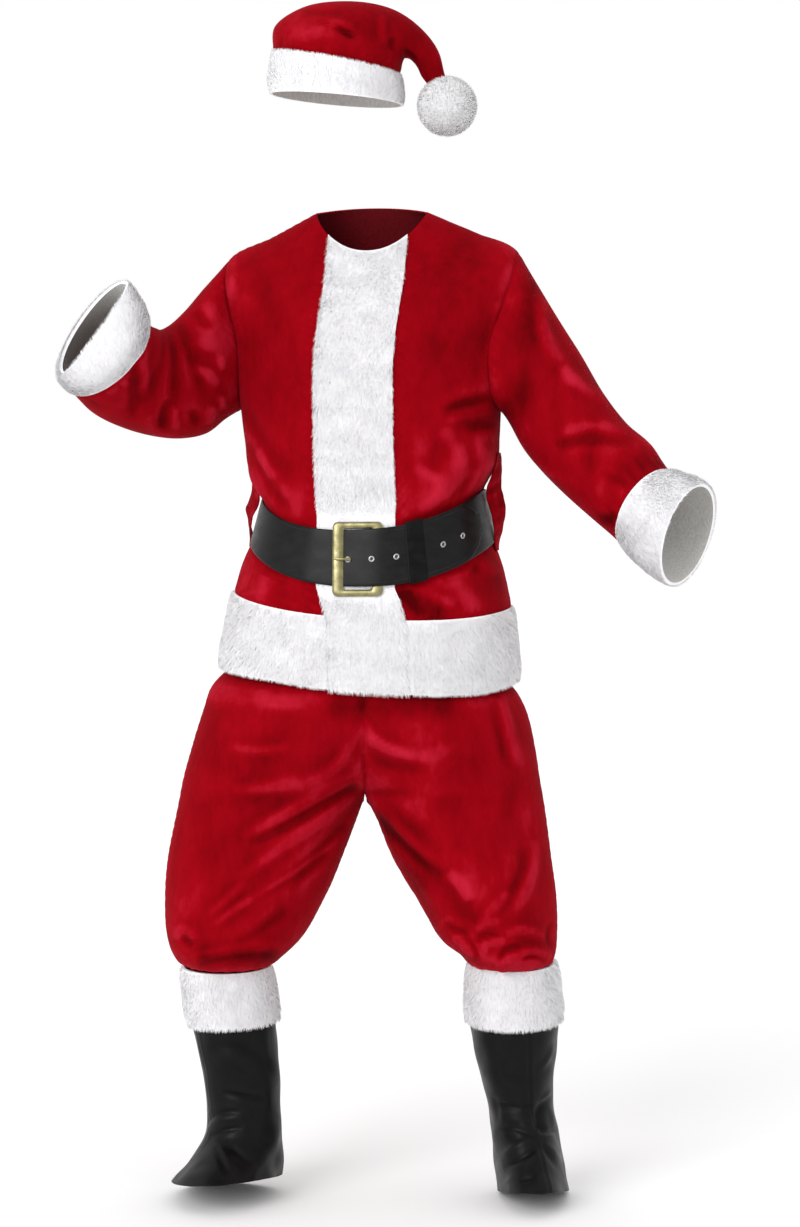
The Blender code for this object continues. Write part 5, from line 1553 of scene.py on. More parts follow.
SLEEVE_ROUND_MM = 1.5  # one degree round a sleeve
SLEEVE_FADE = 1 / 8  # the share of a sleeve, at each end, over which its largest folds die away
SLEEVE_TOP_CALM = (4, 30)  # how far from the armhole its creases start, and reach their depth
CUFF_GATHERS = {"left": Gathers(20, 3.0, 52, 41), "right": Gathers(20, 3.0, 52, 42)}
ARMHOLE_GATHERS = {"left": Gathers(22, 1.4, 30, 51), "right": Gathers(22, 1.4, 30, 52)}
SLEEVE_FOLD_SHARES = {1: 0.3, -1: 0.65}  # how much of a fold stays, as the creases stand for the rest


def sleeve_grid(side, sleeve, cuff, folds):
    """Rows of points from the armhole to the cuff's end, with a row at the cuff's seam."""
    count = 2 * ARMHOLE_ROWS
    rings = [armhole_ring(side), *(hoop_ring(hoop, side, count) for hoop in sleeve + cuff)]
    seam = share_of(rings, len(sleeve))
    shares = steps((0, seam, SLEEVE_ROWS), (seam, 1, CUFF_ROWS))
    points = lofted(rings, shares)
    normals = grid_normals(points, True)
    length = gaps_between(points).sum()
    turn = np.arange(count) * 360 / count
    relief = fold_relief(folds, (shares / seam)[:, None], turn[None], length * seam, SLEEVE_ROUND_MM)
    relief *= SLEEVE_FOLD_SHARES[side]
    fade = np.clip(np.minimum(shares / seam, 1 - shares / seam) / SLEEVE_FADE, 0, 1)
    return points + normals * (relief * fade[:, None])[..., None]


def jacket_relief(points, normals, turns, up):
    """The jacket's listed creases, and its gathers above and below the belt."""
    off_belt = np.maximum(BELT_LOW - up, up - BELT_TOP)[:, None]
    fade = smooth_step(off_belt, NEAR_BELT, NEAR_BELT + NEAR_BELT_FADE)
    above = gathers(turns / 360, (up - BELT_TOP)[:, None] - NEAR_BELT, JACKET_GATHERS["above"])
    below = gathers(turns / 360, (BELT_LOW - up)[:, None] - NEAR_BELT, JACKET_GATHERS["below"])
    return creased(points, normals, JACKET_FRONT, JACKET_BACK) * fade + above + below


def hem_waver(points, up):
    """How far a hem's lower edge rises and falls, none at its seam."""
    return HEM_WAVER * wobble(points, HEM_WAVE, SEEDS["hem_waver"])[..., 2] * (1 - up / up[-1])[:, None]


def build_panel(name, points, out, turns, up):
    """A panel of the jacket and the white band on its hem."""
    relief = jacket_relief(points, out, turns, up)
    body = relief[HEM_ROWS:] + seam_relief(points[HEM_ROWS:], ("top", "left", "right"))
    cloth_piece(f"jacket_{name}", points[HEM_ROWS:], out[HEM_ROWS:], body, RED, "red_plush")
    band = slice(HEM_ROWS + 1)
    hem = points[band] + [0, 0, 1] * hem_waver(points[band], up[band])[..., None]
    proud = pile_depth(HEM_PILE, up[band] / HEM_SEAM, hem)
    if name in BESIDE_PLACKET:
        away = edge_distance(hem, BESIDE_PLACKET[name])
        proud = proud * (1 - PLACKET_STEP * bell(away, PLACKET_STEP_WIDTH))
    node = "hem_band_" + name.replace("front_", "")
    trim_piece(node, hem, out[band], proud, ("top", "bottom"), -1, SEEDS[node], PILE_EASE * relief[band])


def build_placket(points, out, up):
    """The white strip down the middle of the front, pressed flat under the belt."""
    off_belt = np.maximum(BELT_LOW - up, up - BELT_TOP)[:, None]
    bulge = PILE_EASE * creased(points, out, JACKET_FRONT, JACKET_BACK)
    bulge = bulge * smooth_step(off_belt, *PLACKET_EASE)
    proud = pile_depth(PLACKET_PILE, up, points)
    trim_piece("placket", points, out, proud, ("top", "left", "right"), -1, SEEDS["placket"], bulge)


def build_jacket():
    """Three panels, the placket and two sleeves, whose grids meet point to point at their seams."""
    up = jacket_rows()
    arm, strip = armhole_half_turn(up), placket_half_turn(up)
    turns = {
        "front_left": between(0 + arm, 90 - strip, SIDE_COLUMNS),
        "placket": between(90 - strip, 90 + strip, PLACKET_COLUMNS),
        "front_right": between(90 + strip, 180 - arm, SIDE_COLUMNS),
        "back": between(180 + arm, 360 - arm, BACK_COLUMNS),
    }
    grids = {name: jacket_surface(turn, up[:, None]) for name, turn in turns.items()}
    sleeves = {
        "left": sleeve_grid(1, SLEEVE_LEFT, CUFF_LEFT, SLEEVE_LEFT_FOLDS),
        "right": sleeve_grid(-1, SLEEVE_RIGHT, CUFF_RIGHT, SLEEVE_RIGHT_FOLDS),
    }
    every = [(name, points, jacket_core(up), False) for name, points in grids.items()]
    every += [(side, points, points.mean(axis=1), True) for side, points in sleeves.items()]
    normals = shared_normals(every)
    for name in ("front_left", "front_right", "back"):
        build_panel(name, grids[name], normals[name], turns[name], up)
    build_placket(grids["placket"], normals["placket"], up)
    build_sleeve("left", sleeves["left"], normals["left"], SLEEVE_LEFT_FRONT, SLEEVE_LEFT_BACK)
    build_sleeve("right", sleeves["right"], normals["right"], SLEEVE_RIGHT_FRONT, SLEEVE_RIGHT_BACK)


def build_sleeve(side, points, normals, front, back):
    """A sleeve and its white cuff, which are one grid cut at the cuff's seam."""
    cloth, out = points[: SLEEVE_ROWS + 1], normals[: SLEEVE_ROWS + 1]
    place = shares_round(points.shape[1])
    from_armhole, from_cuff = edge_distance(cloth, "top"), edge_distance(cloth, "bottom")
    relief = creased(cloth, out, front, back) * smooth_step(from_armhole, *SLEEVE_TOP_CALM)
    relief += gathers(place, from_cuff, CUFF_GATHERS[side])
    relief += gathers(place, from_armhole, ARMHOLE_GATHERS[side])
    relief += seam_relief(cloth, ("top", "bottom"))
    cloth_piece(f"jacket_sleeve_{side}", cloth, out, relief, RED, "red_plush", wrap=True)
    cuff, out = points[SLEEVE_ROWS:], normals[SLEEVE_ROWS:]
    proud = pile_depth(HEM_PILE, np.linspace(0, 1, CUFF_ROWS + 1), cuff)
    bulge = PILE_EASE * creased(cuff, out, front, back)
    seed = SEEDS[f"sleeve_{side}"]
    trim_piece(f"cuff_{side}", cuff, out, proud, ("top", "bottom"), 1, seed, bulge, wrap=True)


# ---------------------------------------------------------------- hat

HAT_COLUMNS = 88
HAT_ROWS = 62
HAT_BAND_ROWS = 10
HAT_PILE_LESS = 2  # how much lower the hat band's plush is than the hem's
HAT_BAND_GATHERS = Gathers(24, 2.6, 60, 51)
HAT_END_GATHERS = Gathers(9, 1.6, 70, 52)
HAT_END_START = 1  # how far beyond the crown's end its gathers start
HAT_END_CALM = 12  # how far from its end the crown's creases and gathers reach their depth
POMPOM_AT = np.array((122, -27, 157.0))
POMPOM_CORE = 43  # how far from its middle the ball's core reaches, and its locks
POMPOM_REACH = 49
POMPOM_LOCKS = 44000
SEWN_TURN = 24  # how far round the ball, from where the crown is sewn to it, no lock grows
POMPOM_SIZE = 50  # the size of ball that the uneven fields below are worked out on
CORE_SWELL = (0.2, 22)  # how far the core swells, and how far apart its swells are
ROOT_SWELL = (0.15, 26)  # the same for the locks' roots
CURL = (0.1, 24)  # how far locks turn aside together, and how far apart their turns are
CURL_RANDOM = 0.5  # how far each one turns aside by itself
POMPOM_STAND = 0.55  # how far a lock stands up
POMPOM_SHADE = (0.06, 17)  # how unevenly the locks are lit, and how far apart
ROOT_DEPTH = 2  # how far under the core's skin the deepest locks are rooted
ROOT_LAYER = 3  # how much further out the highest are
ROOT_SPREAD = 0.6  # under 1, more locks are rooted high than low
POMPOM_LOCK_LENGTHS = (4, 7)
POMPOM_LOCK_HALVES = (0.4, 0.75)  # half of a lock's width


def build_hat():
    """The crown and its band are one run of hoops, cut where the band is sewn on."""
    rings = [hoop_ring(hoop, 1, HAT_COLUMNS) for hoop in HAT_BAND[:-1] + HAT_CROWN]
    seam = share_of(rings, len(HAT_BAND) - 1)
    points = lofted(rings, steps((0, seam, HAT_BAND_ROWS), (seam, 1, HAT_ROWS)))
    normals = shared_normals([("hat", points, points.mean(axis=1), True)])["hat"]
    crown, out = points[HAT_BAND_ROWS:], normals[HAT_BAND_ROWS:]
    place = shares_round(HAT_COLUMNS)
    from_band, from_end = edge_distance(crown, "top"), edge_distance(crown, "bottom")
    relief = creased(crown, out, HAT_FRONT, HAT_BACK)
    relief += gathers(place, from_band, HAT_BAND_GATHERS)
    relief += gathers(place, from_end + HAT_END_START, HAT_END_GATHERS)
    relief *= smooth_step(from_end, 0, HAT_END_CALM)
    relief += seam_relief(crown, ("top",))
    cloth_piece("hat_crown", crown, out, relief, RED, "red_plush", wrap=True)
    band, out = points[: HAT_BAND_ROWS + 1], normals[: HAT_BAND_ROWS + 1]
    proud = pile_depth(HEM_PILE, np.linspace(0, 1, HAT_BAND_ROWS + 1), band, -HAT_PILE_LESS)
    trim_piece("hat_band", band, out, proud, ("top", "bottom"), 1, SEEDS["hat_band"], wrap=True)


def field(way, waver, seed):
    """An uneven field over the ball in the directions of way, as strong and as broad as waver says."""
    strength, wavelength = waver
    return strength * wobble(way * POMPOM_SIZE, wavelength, seed)


def build_pompom():
    """A soft ball of locks on a round core, bare where the crown's end is sewn in."""
    bpy.ops.mesh.primitive_ico_sphere_add(subdivisions=5, radius=1)
    ball = bpy.context.object
    way = np.array([vertex.co for vertex in ball.data.vertices])
    faces = np.array([polygon.vertices for polygon in ball.data.polygons])
    bpy.data.objects.remove(ball)
    far = POMPOM_CORE + field(way, CORE_SWELL, SEEDS["pompom_core"])[:, :1]
    core = make_mesh("hat_pompom_core", way * far + POMPOM_AT, faces, WHITE[:1])
    placed(core, "white_plush", "hat_pompom")
    end = HAT_CROWN[-1]
    sewn = np.array([(end.top_x + end.low_x) / 2, end.mid_y, (end.top_z + end.low_z) / 2]) - POMPOM_AT
    seed = SEEDS["pompom"]
    draw = np.random.default_rng(seed)
    way = unit(draw.normal(size=(POMPOM_LOCKS, 3)))
    way = way[way @ unit(sewn) < np.cos(radians(SEWN_TURN))]
    count = len(way)
    curl = field(way, CURL, seed + 1) + draw.normal(size=way.shape) * CURL_RANDOM
    curl -= way * (curl * way).sum(axis=-1, keepdims=True)
    direction = unit(POMPOM_STAND * way + curl)
    layer = draw.uniform(0, 1, count) ** ROOT_SPREAD
    swell = field(way, ROOT_SWELL, seed + 2)[:, 0]
    root = way * (POMPOM_CORE - ROOT_DEPTH + ROOT_LAYER * layer + swell)[:, None]
    tip = root + direction * draw.uniform(*POMPOM_LOCK_LENGTHS, count)[:, None]
    tip = tip * np.minimum(1, POMPOM_REACH / np.linalg.norm(tip, axis=-1, keepdims=True))
    half = unit(np.cross(direction, way)) * draw.uniform(*POMPOM_LOCK_HALVES, count)[:, None]
    corners = np.stack([root - half, root + half, tip], axis=1) + POMPOM_AT
    leaves("hat_pompom_locks", corners, unit(way + field(way, POMPOM_SHADE, seed + 3)), POMPOM_LOOK)


# ---------------------------------------------------------------- trousers

LEG_COLUMNS = 140
SEAT_ROWS = 76
LEG_ROWS = 68
SEAT_HALF = 240  # the half width that a seat ring's roll is given at
LEG_ROUND = 760  # once round a leg
LEG_FOLDS_TOP = 300
LEG_FOLDS_LOW = 730
LEG_FOLDS_FADE = 60
LEG_FOLDS_SIDE = 0.5  # under 1, a leg's folds reach their depth soon after its inner seam
CASING = 1.5  # how much the waistband's turned casing adds to each side of the cloth
CASING_SINK = 0.5  # how much less of it is on the outside
WAIST_GATHER = 0.6  # how far the waistband's gathers stand out, and how many there are
WAIST_GATHERS = 96
WAIST_ROWS = 8
ELASTIC = 752  # how far down a leg its end is drawn in by elastic
ABOVE_ELASTIC = {"left": Gathers(22, 4.2, 52, 81), "right": Gathers(22, 4.2, 52, 82)}
BELOW_ELASTIC = {"left": Gathers(26, 1.6, 60, 81), "right": Gathers(26, 1.6, 60, 82)}
CREASES_BELOW_JACKET = 30  # how far below the jacket's hem the trousers' creases reach their depth
CREASES_END = 6  # how far past the elastic the creases end, and over what length they die away
CREASES_FADE = 20


def trouser_rings(leg, side):
    """Key rings of one half: half rings down to the crotch, then whole ones."""
    share = np.linspace(0, 1, LEG_COLUMNS + 1)
    rings, downs = [], []
    for seat in SEAT:
        open_ = radians(seat.opening)
        out_x = seat.left_x if side > 0 else seat.right_x
        half = (CENTRE_X - out_x) / (1 + np.cos(open_))
        angle = open_ + share * (2 * pi - 2 * open_)
        depth = (seat.y_back - seat.y_front) / 2
        x = out_x + half + half * np.cos(angle)
        y = (seat.y_back + seat.y_front) / 2 - depth * np.sin(angle)
        z = seat.z - seat.roll * (x - CENTRE_X) / SEAT_HALF
        rings.append(np.stack([x, y, z], axis=-1))
        downs.append(seat.down)
    angle = share * 2 * pi
    inward = (1 + np.cos(angle)) / 2
    for ring in leg:
        depth = (ring.y_back - ring.y_front) / 2
        x = ring.out_x + (ring.in_x - ring.out_x) * inward
        y = (ring.y_back + ring.y_front) / 2 - depth * np.sin(angle)
        z = ring.out_z + (ring.in_z - ring.out_z) * inward
        rings.append(np.stack([x, y, z], axis=-1))
        downs.append(ring.down)
    return np.array(downs, float), np.array(rings)


def trouser_grid(leg, side, folds):
    """One half's grid: rows go down from the waist, columns from the centre front to the centre back."""
    keys, rings = trouser_rings(leg, side)
    crotch = leg[0].down
    downs = steps(
        (0, WAISTBAND_END, WAIST_ROWS),
        (WAISTBAND_END, crotch, SEAT_ROWS),
        (crotch, leg[-1].down, LEG_ROWS),
    )
    points = hermite(rings, keys, downs)
    share = np.linspace(0, 1, LEG_COLUMNS + 1)
    normals = grid_normals(points, False)
    relief = fold_relief(folds, downs[:, None], share[None], 1, LEG_ROUND)
    away = np.sin(pi * share) ** LEG_FOLDS_SIDE
    near_end = np.minimum(downs - LEG_FOLDS_TOP, LEG_FOLDS_LOW - downs)
    relief = relief * away * np.clip(near_end / LEG_FOLDS_FADE, 0, 1)[:, None]
    points = points + normals * relief[..., None]
    whole = downs >= crotch
    points[whole, -1] = points[whole, 0]
    return downs, points


UNDER_JACKET = 250  # how far down the trousers the jacket's hem reaches
KNEE_DROOP = {1: 9.0, -1: 4.0}  # how far a leg's pouch hangs down onto the band of its boot top
DROOP_TOP = 650
DROOP_FULL = 700
DROOP_END = 4  # how far past the elastic the droop ends, and over what length it dies away
DROOP_FADE = 14


def build_trousers():
    """Four panels and a waistband. Each half is split at its side and at its inner leg."""
    grids, every = {}, []
    share = shares_across(LEG_COLUMNS)
    middle = LEG_COLUMNS // 2
    parts = {"front": slice(0, middle + 1), "back": slice(middle, None)}
    for side, name, leg, folds in (
        (1, "left", LEG_LEFT, LEG_LEFT_FOLDS),
        (-1, "right", LEG_RIGHT, LEG_RIGHT_FOLDS),
    ):
        downs, points = trouser_grid(leg, side, folds)
        droop = smooth_step(downs, DROOP_TOP, DROOP_FULL)
        droop = droop * smooth_step(ELASTIC + DROOP_END - downs, 0, DROOP_FADE)
        points -= [0, 0, KNEE_DROOP[side]] * droop[:, None, None]
        core = points.mean(axis=1)
        for part, columns in parts.items():
            grids[part, name] = points[:, columns]
            every.append(((part, name), points[:, columns], core, False))
    normals = shared_normals(every)
    down = downs[:, None]  # the same for both halves
    calm = smooth_step(down, UNDER_JACKET, UNDER_JACKET + CREASES_BELOW_JACKET)
    low_calm = smooth_step(ELASTIC + CREASES_END - down, 0, CREASES_FADE)
    for (part, name), points in grids.items():
        out, place = normals[part, name], share[:, parts[part]]
        relief = creased(points, out, TROUSERS_FRONT, TROUSERS_BACK) * calm * low_calm
        relief += gathers(place, ELASTIC - down, ABOVE_ELASTIC[name])
        relief += gathers(place, down - ELASTIC, BELOW_ELASTIC[name])
        relief, points, out = relief[WAIST_ROWS:], points[WAIST_ROWS:], out[WAIST_ROWS:]
        relief = relief + seam_relief(points, ("left", "right"))
        cloth_piece(f"trouser_{part}_{name}", points, out, relief, RED, "red_plush")
    build_waistband(grids, normals)


def build_waistband(grids, normals):
    """The panels' top rows, joined into one ring and gathered by elastic."""
    order = (("front", "left", 1), ("back", "left", 1), ("back", "right", -1), ("front", "right", -1))

    def joined(pieces):
        """The panels' top rows, each without the column that it shares with the next."""
        runs = [pieces[part, name][: WAIST_ROWS + 1, ::turn][:, :-1] for part, name, turn in order]
        return np.concatenate(runs, axis=1)

    ring, out = joined(grids), joined(normals)
    place = shares_round(ring.shape[1])
    away = edge_distance(ring, "top")
    swell = np.sin(pi * np.clip(away / away.max(), 0, 1))
    relief = WAIST_GATHER * np.cos(2 * pi * place * WAIST_GATHERS) * swell
    outside, thick = CASING - CASING_SINK, CLOTH + CASING
    cloth_piece("trouser_waistband", ring, out, relief, RED, "red_plush", outside, thick, wrap=True)


# ---------------------------------------------------------------- boot tops

BOOT_COLUMNS = 120
BOOT_ROWS = 84
BOOT_BAND_ROWS = 24
BOOT_PILE_MORE = 4  # how much deeper the boot band's plush is than the hem's
BOOT_HEM_LINE = 11  # how far above the band's end its sewn line is
BOOT_ROUND = 420  # once round a boot top
BOOT_SEAMS = {"left": 0.2, "right": 0.08}  # the seam up the front, as a share of the way round
BOOT_CALM = 14  # how far below the band the creases reach their depth
BOOT_GATHERS = {"left": Gathers(12, 1.2, 90, 91), "right": Gathers(12, 1.2, 90, 92)}
RIDGE_AWAY = 4  # a seam's ridges: how far from it, how wide and how high
RIDGE_WIDTH = 3
RIDGE = 0.8
GROOVE_WIDTH = 2
GROOVE = 1.1
BOOT_SWELL = 0.7  # how far the soft cloth swells, how far apart, and how far below the band it fully does
BOOT_SWELL_WAVE = 55
BOOT_SWELL_CALM = 20


def boot_grid(table, downs):
    """Rows of a boot top: 0 is at its outer side, a quarter on is its front."""
    angle = np.arange(BOOT_COLUMNS) * 2 * pi / BOOT_COLUMNS
    across, forward = np.cos(angle), np.sin(angle)
    ring = curve(table, downs[:, None])
    middle_x, middle_z = (ring.out_x + ring.in_x) / 2, (ring.out_z + ring.in_z) / 2
    front = np.clip(forward, 0, 1)
    back = np.clip(-forward, 0, 1)
    x = middle_x + (ring.out_x - ring.in_x) / 2 * across + (ring.front_x - middle_x) * front
    y = ring.y_front * front + ring.y_back * back
    z = middle_z + (ring.out_z - ring.in_z) / 2 * across
    z = z + (ring.z_front - middle_z) * front + (ring.z_back - middle_z) * back
    return np.stack([x, y, z], axis=-1)


def build_boot_tops():
    """Each boot top is a tube with a white band round its top, made from its points, moved out."""
    place = shares_round(BOOT_COLUMNS)
    band = slice(BOOT_BAND_ROWS + 1)
    for side, table in (("left", BOOT_LEFT), ("right", BOOT_RIGHT)):
        seed = SEEDS[f"boot_{side}"]
        downs = steps((0, BOOT_BAND_END, BOOT_BAND_ROWS), (BOOT_BAND_END, table[-1].down, BOOT_ROWS))
        points = boot_grid(table, downs)
        normals = shared_normals([("boot", points, points.mean(axis=1), True)])["boot"]
        below = np.clip(downs - BOOT_BAND_END, 0, None)[:, None]
        relief = creased(points, normals, BOOTS_FRONT, BOOTS_BACK) * smooth_step(below, 0, BOOT_CALM)
        relief += gathers(place, below, BOOT_GATHERS[side])
        for seam in (BOOT_SEAMS[side], BOOT_SEAMS[side] + 0.5):
            off = np.abs(place - seam) * BOOT_ROUND
            ridge, groove = bell(off - RIDGE_AWAY, RIDGE_WIDTH), bell(off, GROOVE_WIDTH)
            relief += (RIDGE * ridge - GROOVE * groove) * (below > 0)
        swell = wobble(points, BOOT_SWELL_WAVE, seed)[..., 0]
        relief += BOOT_SWELL * swell * smooth_step(below, 0, BOOT_SWELL_CALM)
        node, look = f"boot_top_{side}", "boot_cloth"
        cloth_piece(node, points, normals, relief, BOOT, look, thick=BOOT_CLOTH, wrap=True)
        ring, out = points[band] + normals[band] * (CLOTH + SEAM_GAP), normals[band]
        proud = pile_depth(HEM_PILE, np.linspace(0, 1, BOOT_BAND_ROWS + 1), ring, BOOT_PILE_MORE) - CLOTH
        edges, lines = ("top", "bottom"), (BOOT_HEM_LINE,)
        trim_piece(f"boot_band_{side}", ring, out, proud, edges, 1, seed + 5, wrap=True, lines=lines)


# ---------------------------------------------------------------- belt

LAP_LIFT = 3.0  # the strap over the placket and under its own free end
FREE_LIFT = 6.0  # the free end over the strap's first turn
PLAIN_LIFT = 0.8  # the strap on red cloth
STRAP_MARGIN = 0.01  # the share of the belt's height left free at each edge of the strap
TIP_ROUND = 30  # how far back from the tip its rounding reaches
TIP_BLUNT = 0.12  # how blunt its very end stays
BAR = 3.0
OVER_BAR_LIFT = LAP_LIFT + BAR + 1.8  # the free end over the buckle's pivot bar
UNDER_BAR_LIFT = LAP_LIFT + 0.7
ON_STRAP_LIFT = LAP_LIFT + STRAP + 0.9  # what lies on the strap beside the placket
PIVOT_X = (4, 23)
LEFT_BAR_X = (-55, -38)
BUCKLE_MIDDLE_X = -16
BUCKLE_INNER_HALF = 47.5  # half of the frame's opening, up and down
BUCKLE_OUTER_HALF = 58
MIDLINE = 0.475  # how far up the strap the buckle's middle, the prong and the eyelets lie
TIP_X = 168
KEEPER_X = (58, 85)
KEEPER_WALL = 1.5
EYELET_START_X = -31.5
EYELET_PITCH = 38
EYELETS = (0, 1, 2, 4, 5)  # the fourth lies under the keeper
PRONG_WALL = 2

# How far the strap stands out, from the x of a place on it. The first table is the free end's.
Lift = namedtuple("Lift", "x lift")
FREE_END_LIFTS = rows(
    Lift,
    (LEFT_BAR_X[1] + 6, LAP_LIFT),
    (PIVOT_X[0] - 1, OVER_BAR_LIFT),
    (PIVOT_X[1] + 4, OVER_BAR_LIFT),
    (PIVOT_X[1] + 22, FREE_LIFT),
    (TIP_X, FREE_LIFT),
)
RIGHT_SIDE_LIFTS = (Lift(-112, PLAIN_LIFT), Lift(-92, LAP_LIFT))

# The prong's stations, from its eyelet to its point over the left bar.
Station = namedtuple("Station", "x lift half_width")
PRONG = rows(
    Station,
    (-26, ON_STRAP_LIFT + 1.8, 2.4),
    (-34, ON_STRAP_LIFT + 3.4, 2.4),
    (-40, ON_STRAP_LIFT + BAR + 1.2, 2.2),
    (-53, ON_STRAP_LIFT + BAR + 0.8, 1.6),
)


def belt_at(turn, height, lift):
    """Places on the belt: turn is degrees from the wearer's right side over the front, height is 0 to 1."""
    turn, height, lift = np.broadcast_arrays(*(np.asarray(v, float) for v in (turn, height, lift)))
    around = np.mod(180 - turn, 360)
    low, high = jacket_surface(around, BELT_LOW), jacket_surface(around, BELT_TOP)
    beside = jacket_surface(np.mod(around - NEAR_BY, 360), (BELT_LOW + BELT_TOP) / 2)
    beside = beside - jacket_surface(np.mod(around + NEAR_BY, 360), (BELT_LOW + BELT_TOP) / 2)
    normal = unit(np.cross(beside, high - low))
    outward = np.stack([np.cos(np.radians(around)), -np.sin(np.radians(around)), 0 * turn], axis=-1)
    normal = normal * np.sign((normal * outward).sum(axis=-1, keepdims=True))
    return low + (high - low) * height[..., None] + normal * lift[..., None]


FRONT_TURNS = np.linspace(4, 176, 345)  # every half degree over the front
FRONT_X = belt_at(FRONT_TURNS, 0.5, 0)[:, 0]


def turn_of(x):
    """Where on the belt's front a place is, in degrees."""
    return np.interp(x, FRONT_X, FRONT_TURNS)


def x_of(turn):
    """How far to the left a place on the belt's front is."""
    return np.interp(turn, FRONT_TURNS, FRONT_X)


STRAP_ACROSS = 22  # points across the strap's face
EDGE_ROUND = 0.9  # how far the strap's edges are rounded off
STITCH_IN = 5.5  # how far in from the strap's edge its sewn line is
STRAP_WIDE = 85
STRAP_START_X = PIVOT_X[1] + 0.5
STRAP_STEP = 1.2  # how far apart the strap's rows are, in degrees
TIP_TURN = 12  # how many degrees the tip has closer rows in
TIP_ROWS = 40
PAST_TIP = 4  # how far past the tip the strap starts to sink onto the cloth, in degrees
ON_CLOTH = 180 + 26  # where it lies on the cloth
LIFT_BLUR = 3  # how many rows on each side the strap's lift is smoothed over
EDGE_RUN = 1.2  # how far in from an edge its rounding reaches
GROOVE_IN_STRAP = (0.5, 0.9)  # how deep the sewn line's groove is, and how wide
STRAP_WAVE = (0.175, 60)  # how far the strap's face swells, and how far apart
FREE_END_TURN = 340  # past this turn, the strap is measured back from its tip


def build_strap():
    """One strip, from the buckle round the wearer's left, back and right, and through the buckle again."""
    start, end = turn_of(STRAP_START_X), 360 + turn_of(TIP_X)
    lifts = [(start, LAP_LIFT), (end - 360 + PAST_TIP, LAP_LIFT), (ON_CLOTH, PLAIN_LIFT)]
    lifts += [(360 + turn_of(row.x), row.lift) for row in RIGHT_SIDE_LIFTS + FREE_END_LIFTS]
    near_tip = end - TIP_TURN
    turns = np.concatenate([np.arange(start, near_tip, STRAP_STEP), np.linspace(near_tip, end, TIP_ROWS)])
    lift = np.interp(turns, *np.array(lifts).T)
    window = 2 * LIFT_BLUR + 1
    lift = np.convolve(np.pad(lift, LIFT_BLUR, mode="edge"), np.ones(window) / window, mode="valid")
    tip_back = np.where(turns > FREE_END_TURN, TIP_X - x_of(turns - 360), TIP_ROUND)
    rounding = np.sqrt(np.clip(1 - (1 - np.clip(tip_back / TIP_ROUND, 0, 1)) ** 2, TIP_BLUNT, 1))
    half = (rounding * (0.5 - STRAP_MARGIN))[:, None]
    across = np.cos(np.linspace(0, pi, STRAP_ACROSS))[None]
    height = 0.5 + half * across
    from_edge = (1 - np.abs(across)) * half * STRAP_WIDE
    crown = STRAP - EDGE_ROUND * np.exp(-from_edge / EDGE_RUN)
    deep, wide = GROOVE_IN_STRAP
    groove = deep * bell(from_edge - STITCH_IN, wide)
    swell, wavelength = STRAP_WAVE
    wave = swell * wobble(belt_at(turns[:, None], height, 0), wavelength, SEEDS["strap"])[..., 0]
    outer = belt_at(turns[:, None], height, lift[:, None] + crown - groove + wave)
    inner = belt_at(turns[:, None], height, lift[:, None] + 0 * height)
    placed(shell("belt_strap_cloth", outer, inner, BELT_BACK), "belt_cloth", "belt_strap")
    stitches(turns, lift, half[:, 0])


STITCH = 3.4  # how long a stitch is
STITCH_PITCH = 4.6
STITCH_HALF = 0.45
STITCH_START = 4  # how far from the strap's start the first one is
STITCH_SECTION = ((-STITCH_HALF, -0.5), (0, 0.25), (STITCH_HALF, -0.5))  # how far across, and how high
WEDGE_FACES = ((0, 1, 4), (0, 4, 3), (1, 2, 5), (1, 5, 4), (2, 0, 3), (2, 3, 5), (0, 2, 1), (3, 4, 5))


def stitches(turns, lift, half):
    """Short raised stitches in the grooves along both edges of the strap, one small wedge each."""
    length = run_lengths(belt_at(turns, 0.5, lift))
    starts = np.arange(STITCH_START, length[-1] - TIP_ROUND, STITCH_PITCH)
    points, faces = [], []
    number = np.arange(2 * 6 * len(starts)).reshape(2, len(starts), 6)
    for edge, first in zip((-1, 1), number[:, :, :1]):
        corners = []
        for along in (starts, starts + STITCH):
            turn = np.interp(along, length, turns)
            reach = np.interp(turn, turns, half) - STITCH_IN / STRAP_WIDE
            out = np.interp(turn, turns, lift) + STRAP
            for across, up in STITCH_SECTION:
                corners.append(belt_at(turn, 0.5 + edge * reach + across / STRAP_WIDE, out + up))
        points.append(np.stack(corners, axis=1).reshape(-1, 3))
        faces += [first + np.array(face) for face in WEDGE_FACES]
    made = make_mesh("belt_strap_stitches", np.concatenate(points), np.concatenate(faces), THREAD_AND_HOLE_SHADE)
    placed(made, "belt_cloth")


KEEPER_ROWS = 28
KEEPER_FACE = 26  # points across each face of its section, and within each corner
KEEPER_CORNER = 4
KEEPER_LOW = LAP_LIFT - 0.4
KEEPER_HIGH = FREE_LIFT + STRAP + 0.9
KEEPER_OUTER = (0.025, 0.02)  # how far its section reaches past the strap's edges, and how round it is,
KEEPER_INNER = (0.01, 0.008)  # as shares of the strap's width
KEEPER_ROUND = (0.9, 0.06)  # how far its edges drop, and over what share of its half width
KEEPER_LINE = (0.35, 0.72, 0.05)  # how deep its edge line is, how far out it lies and how wide it is
KEEPER_FLAT = 0.9  # the share of its section's height past which a point is on its face


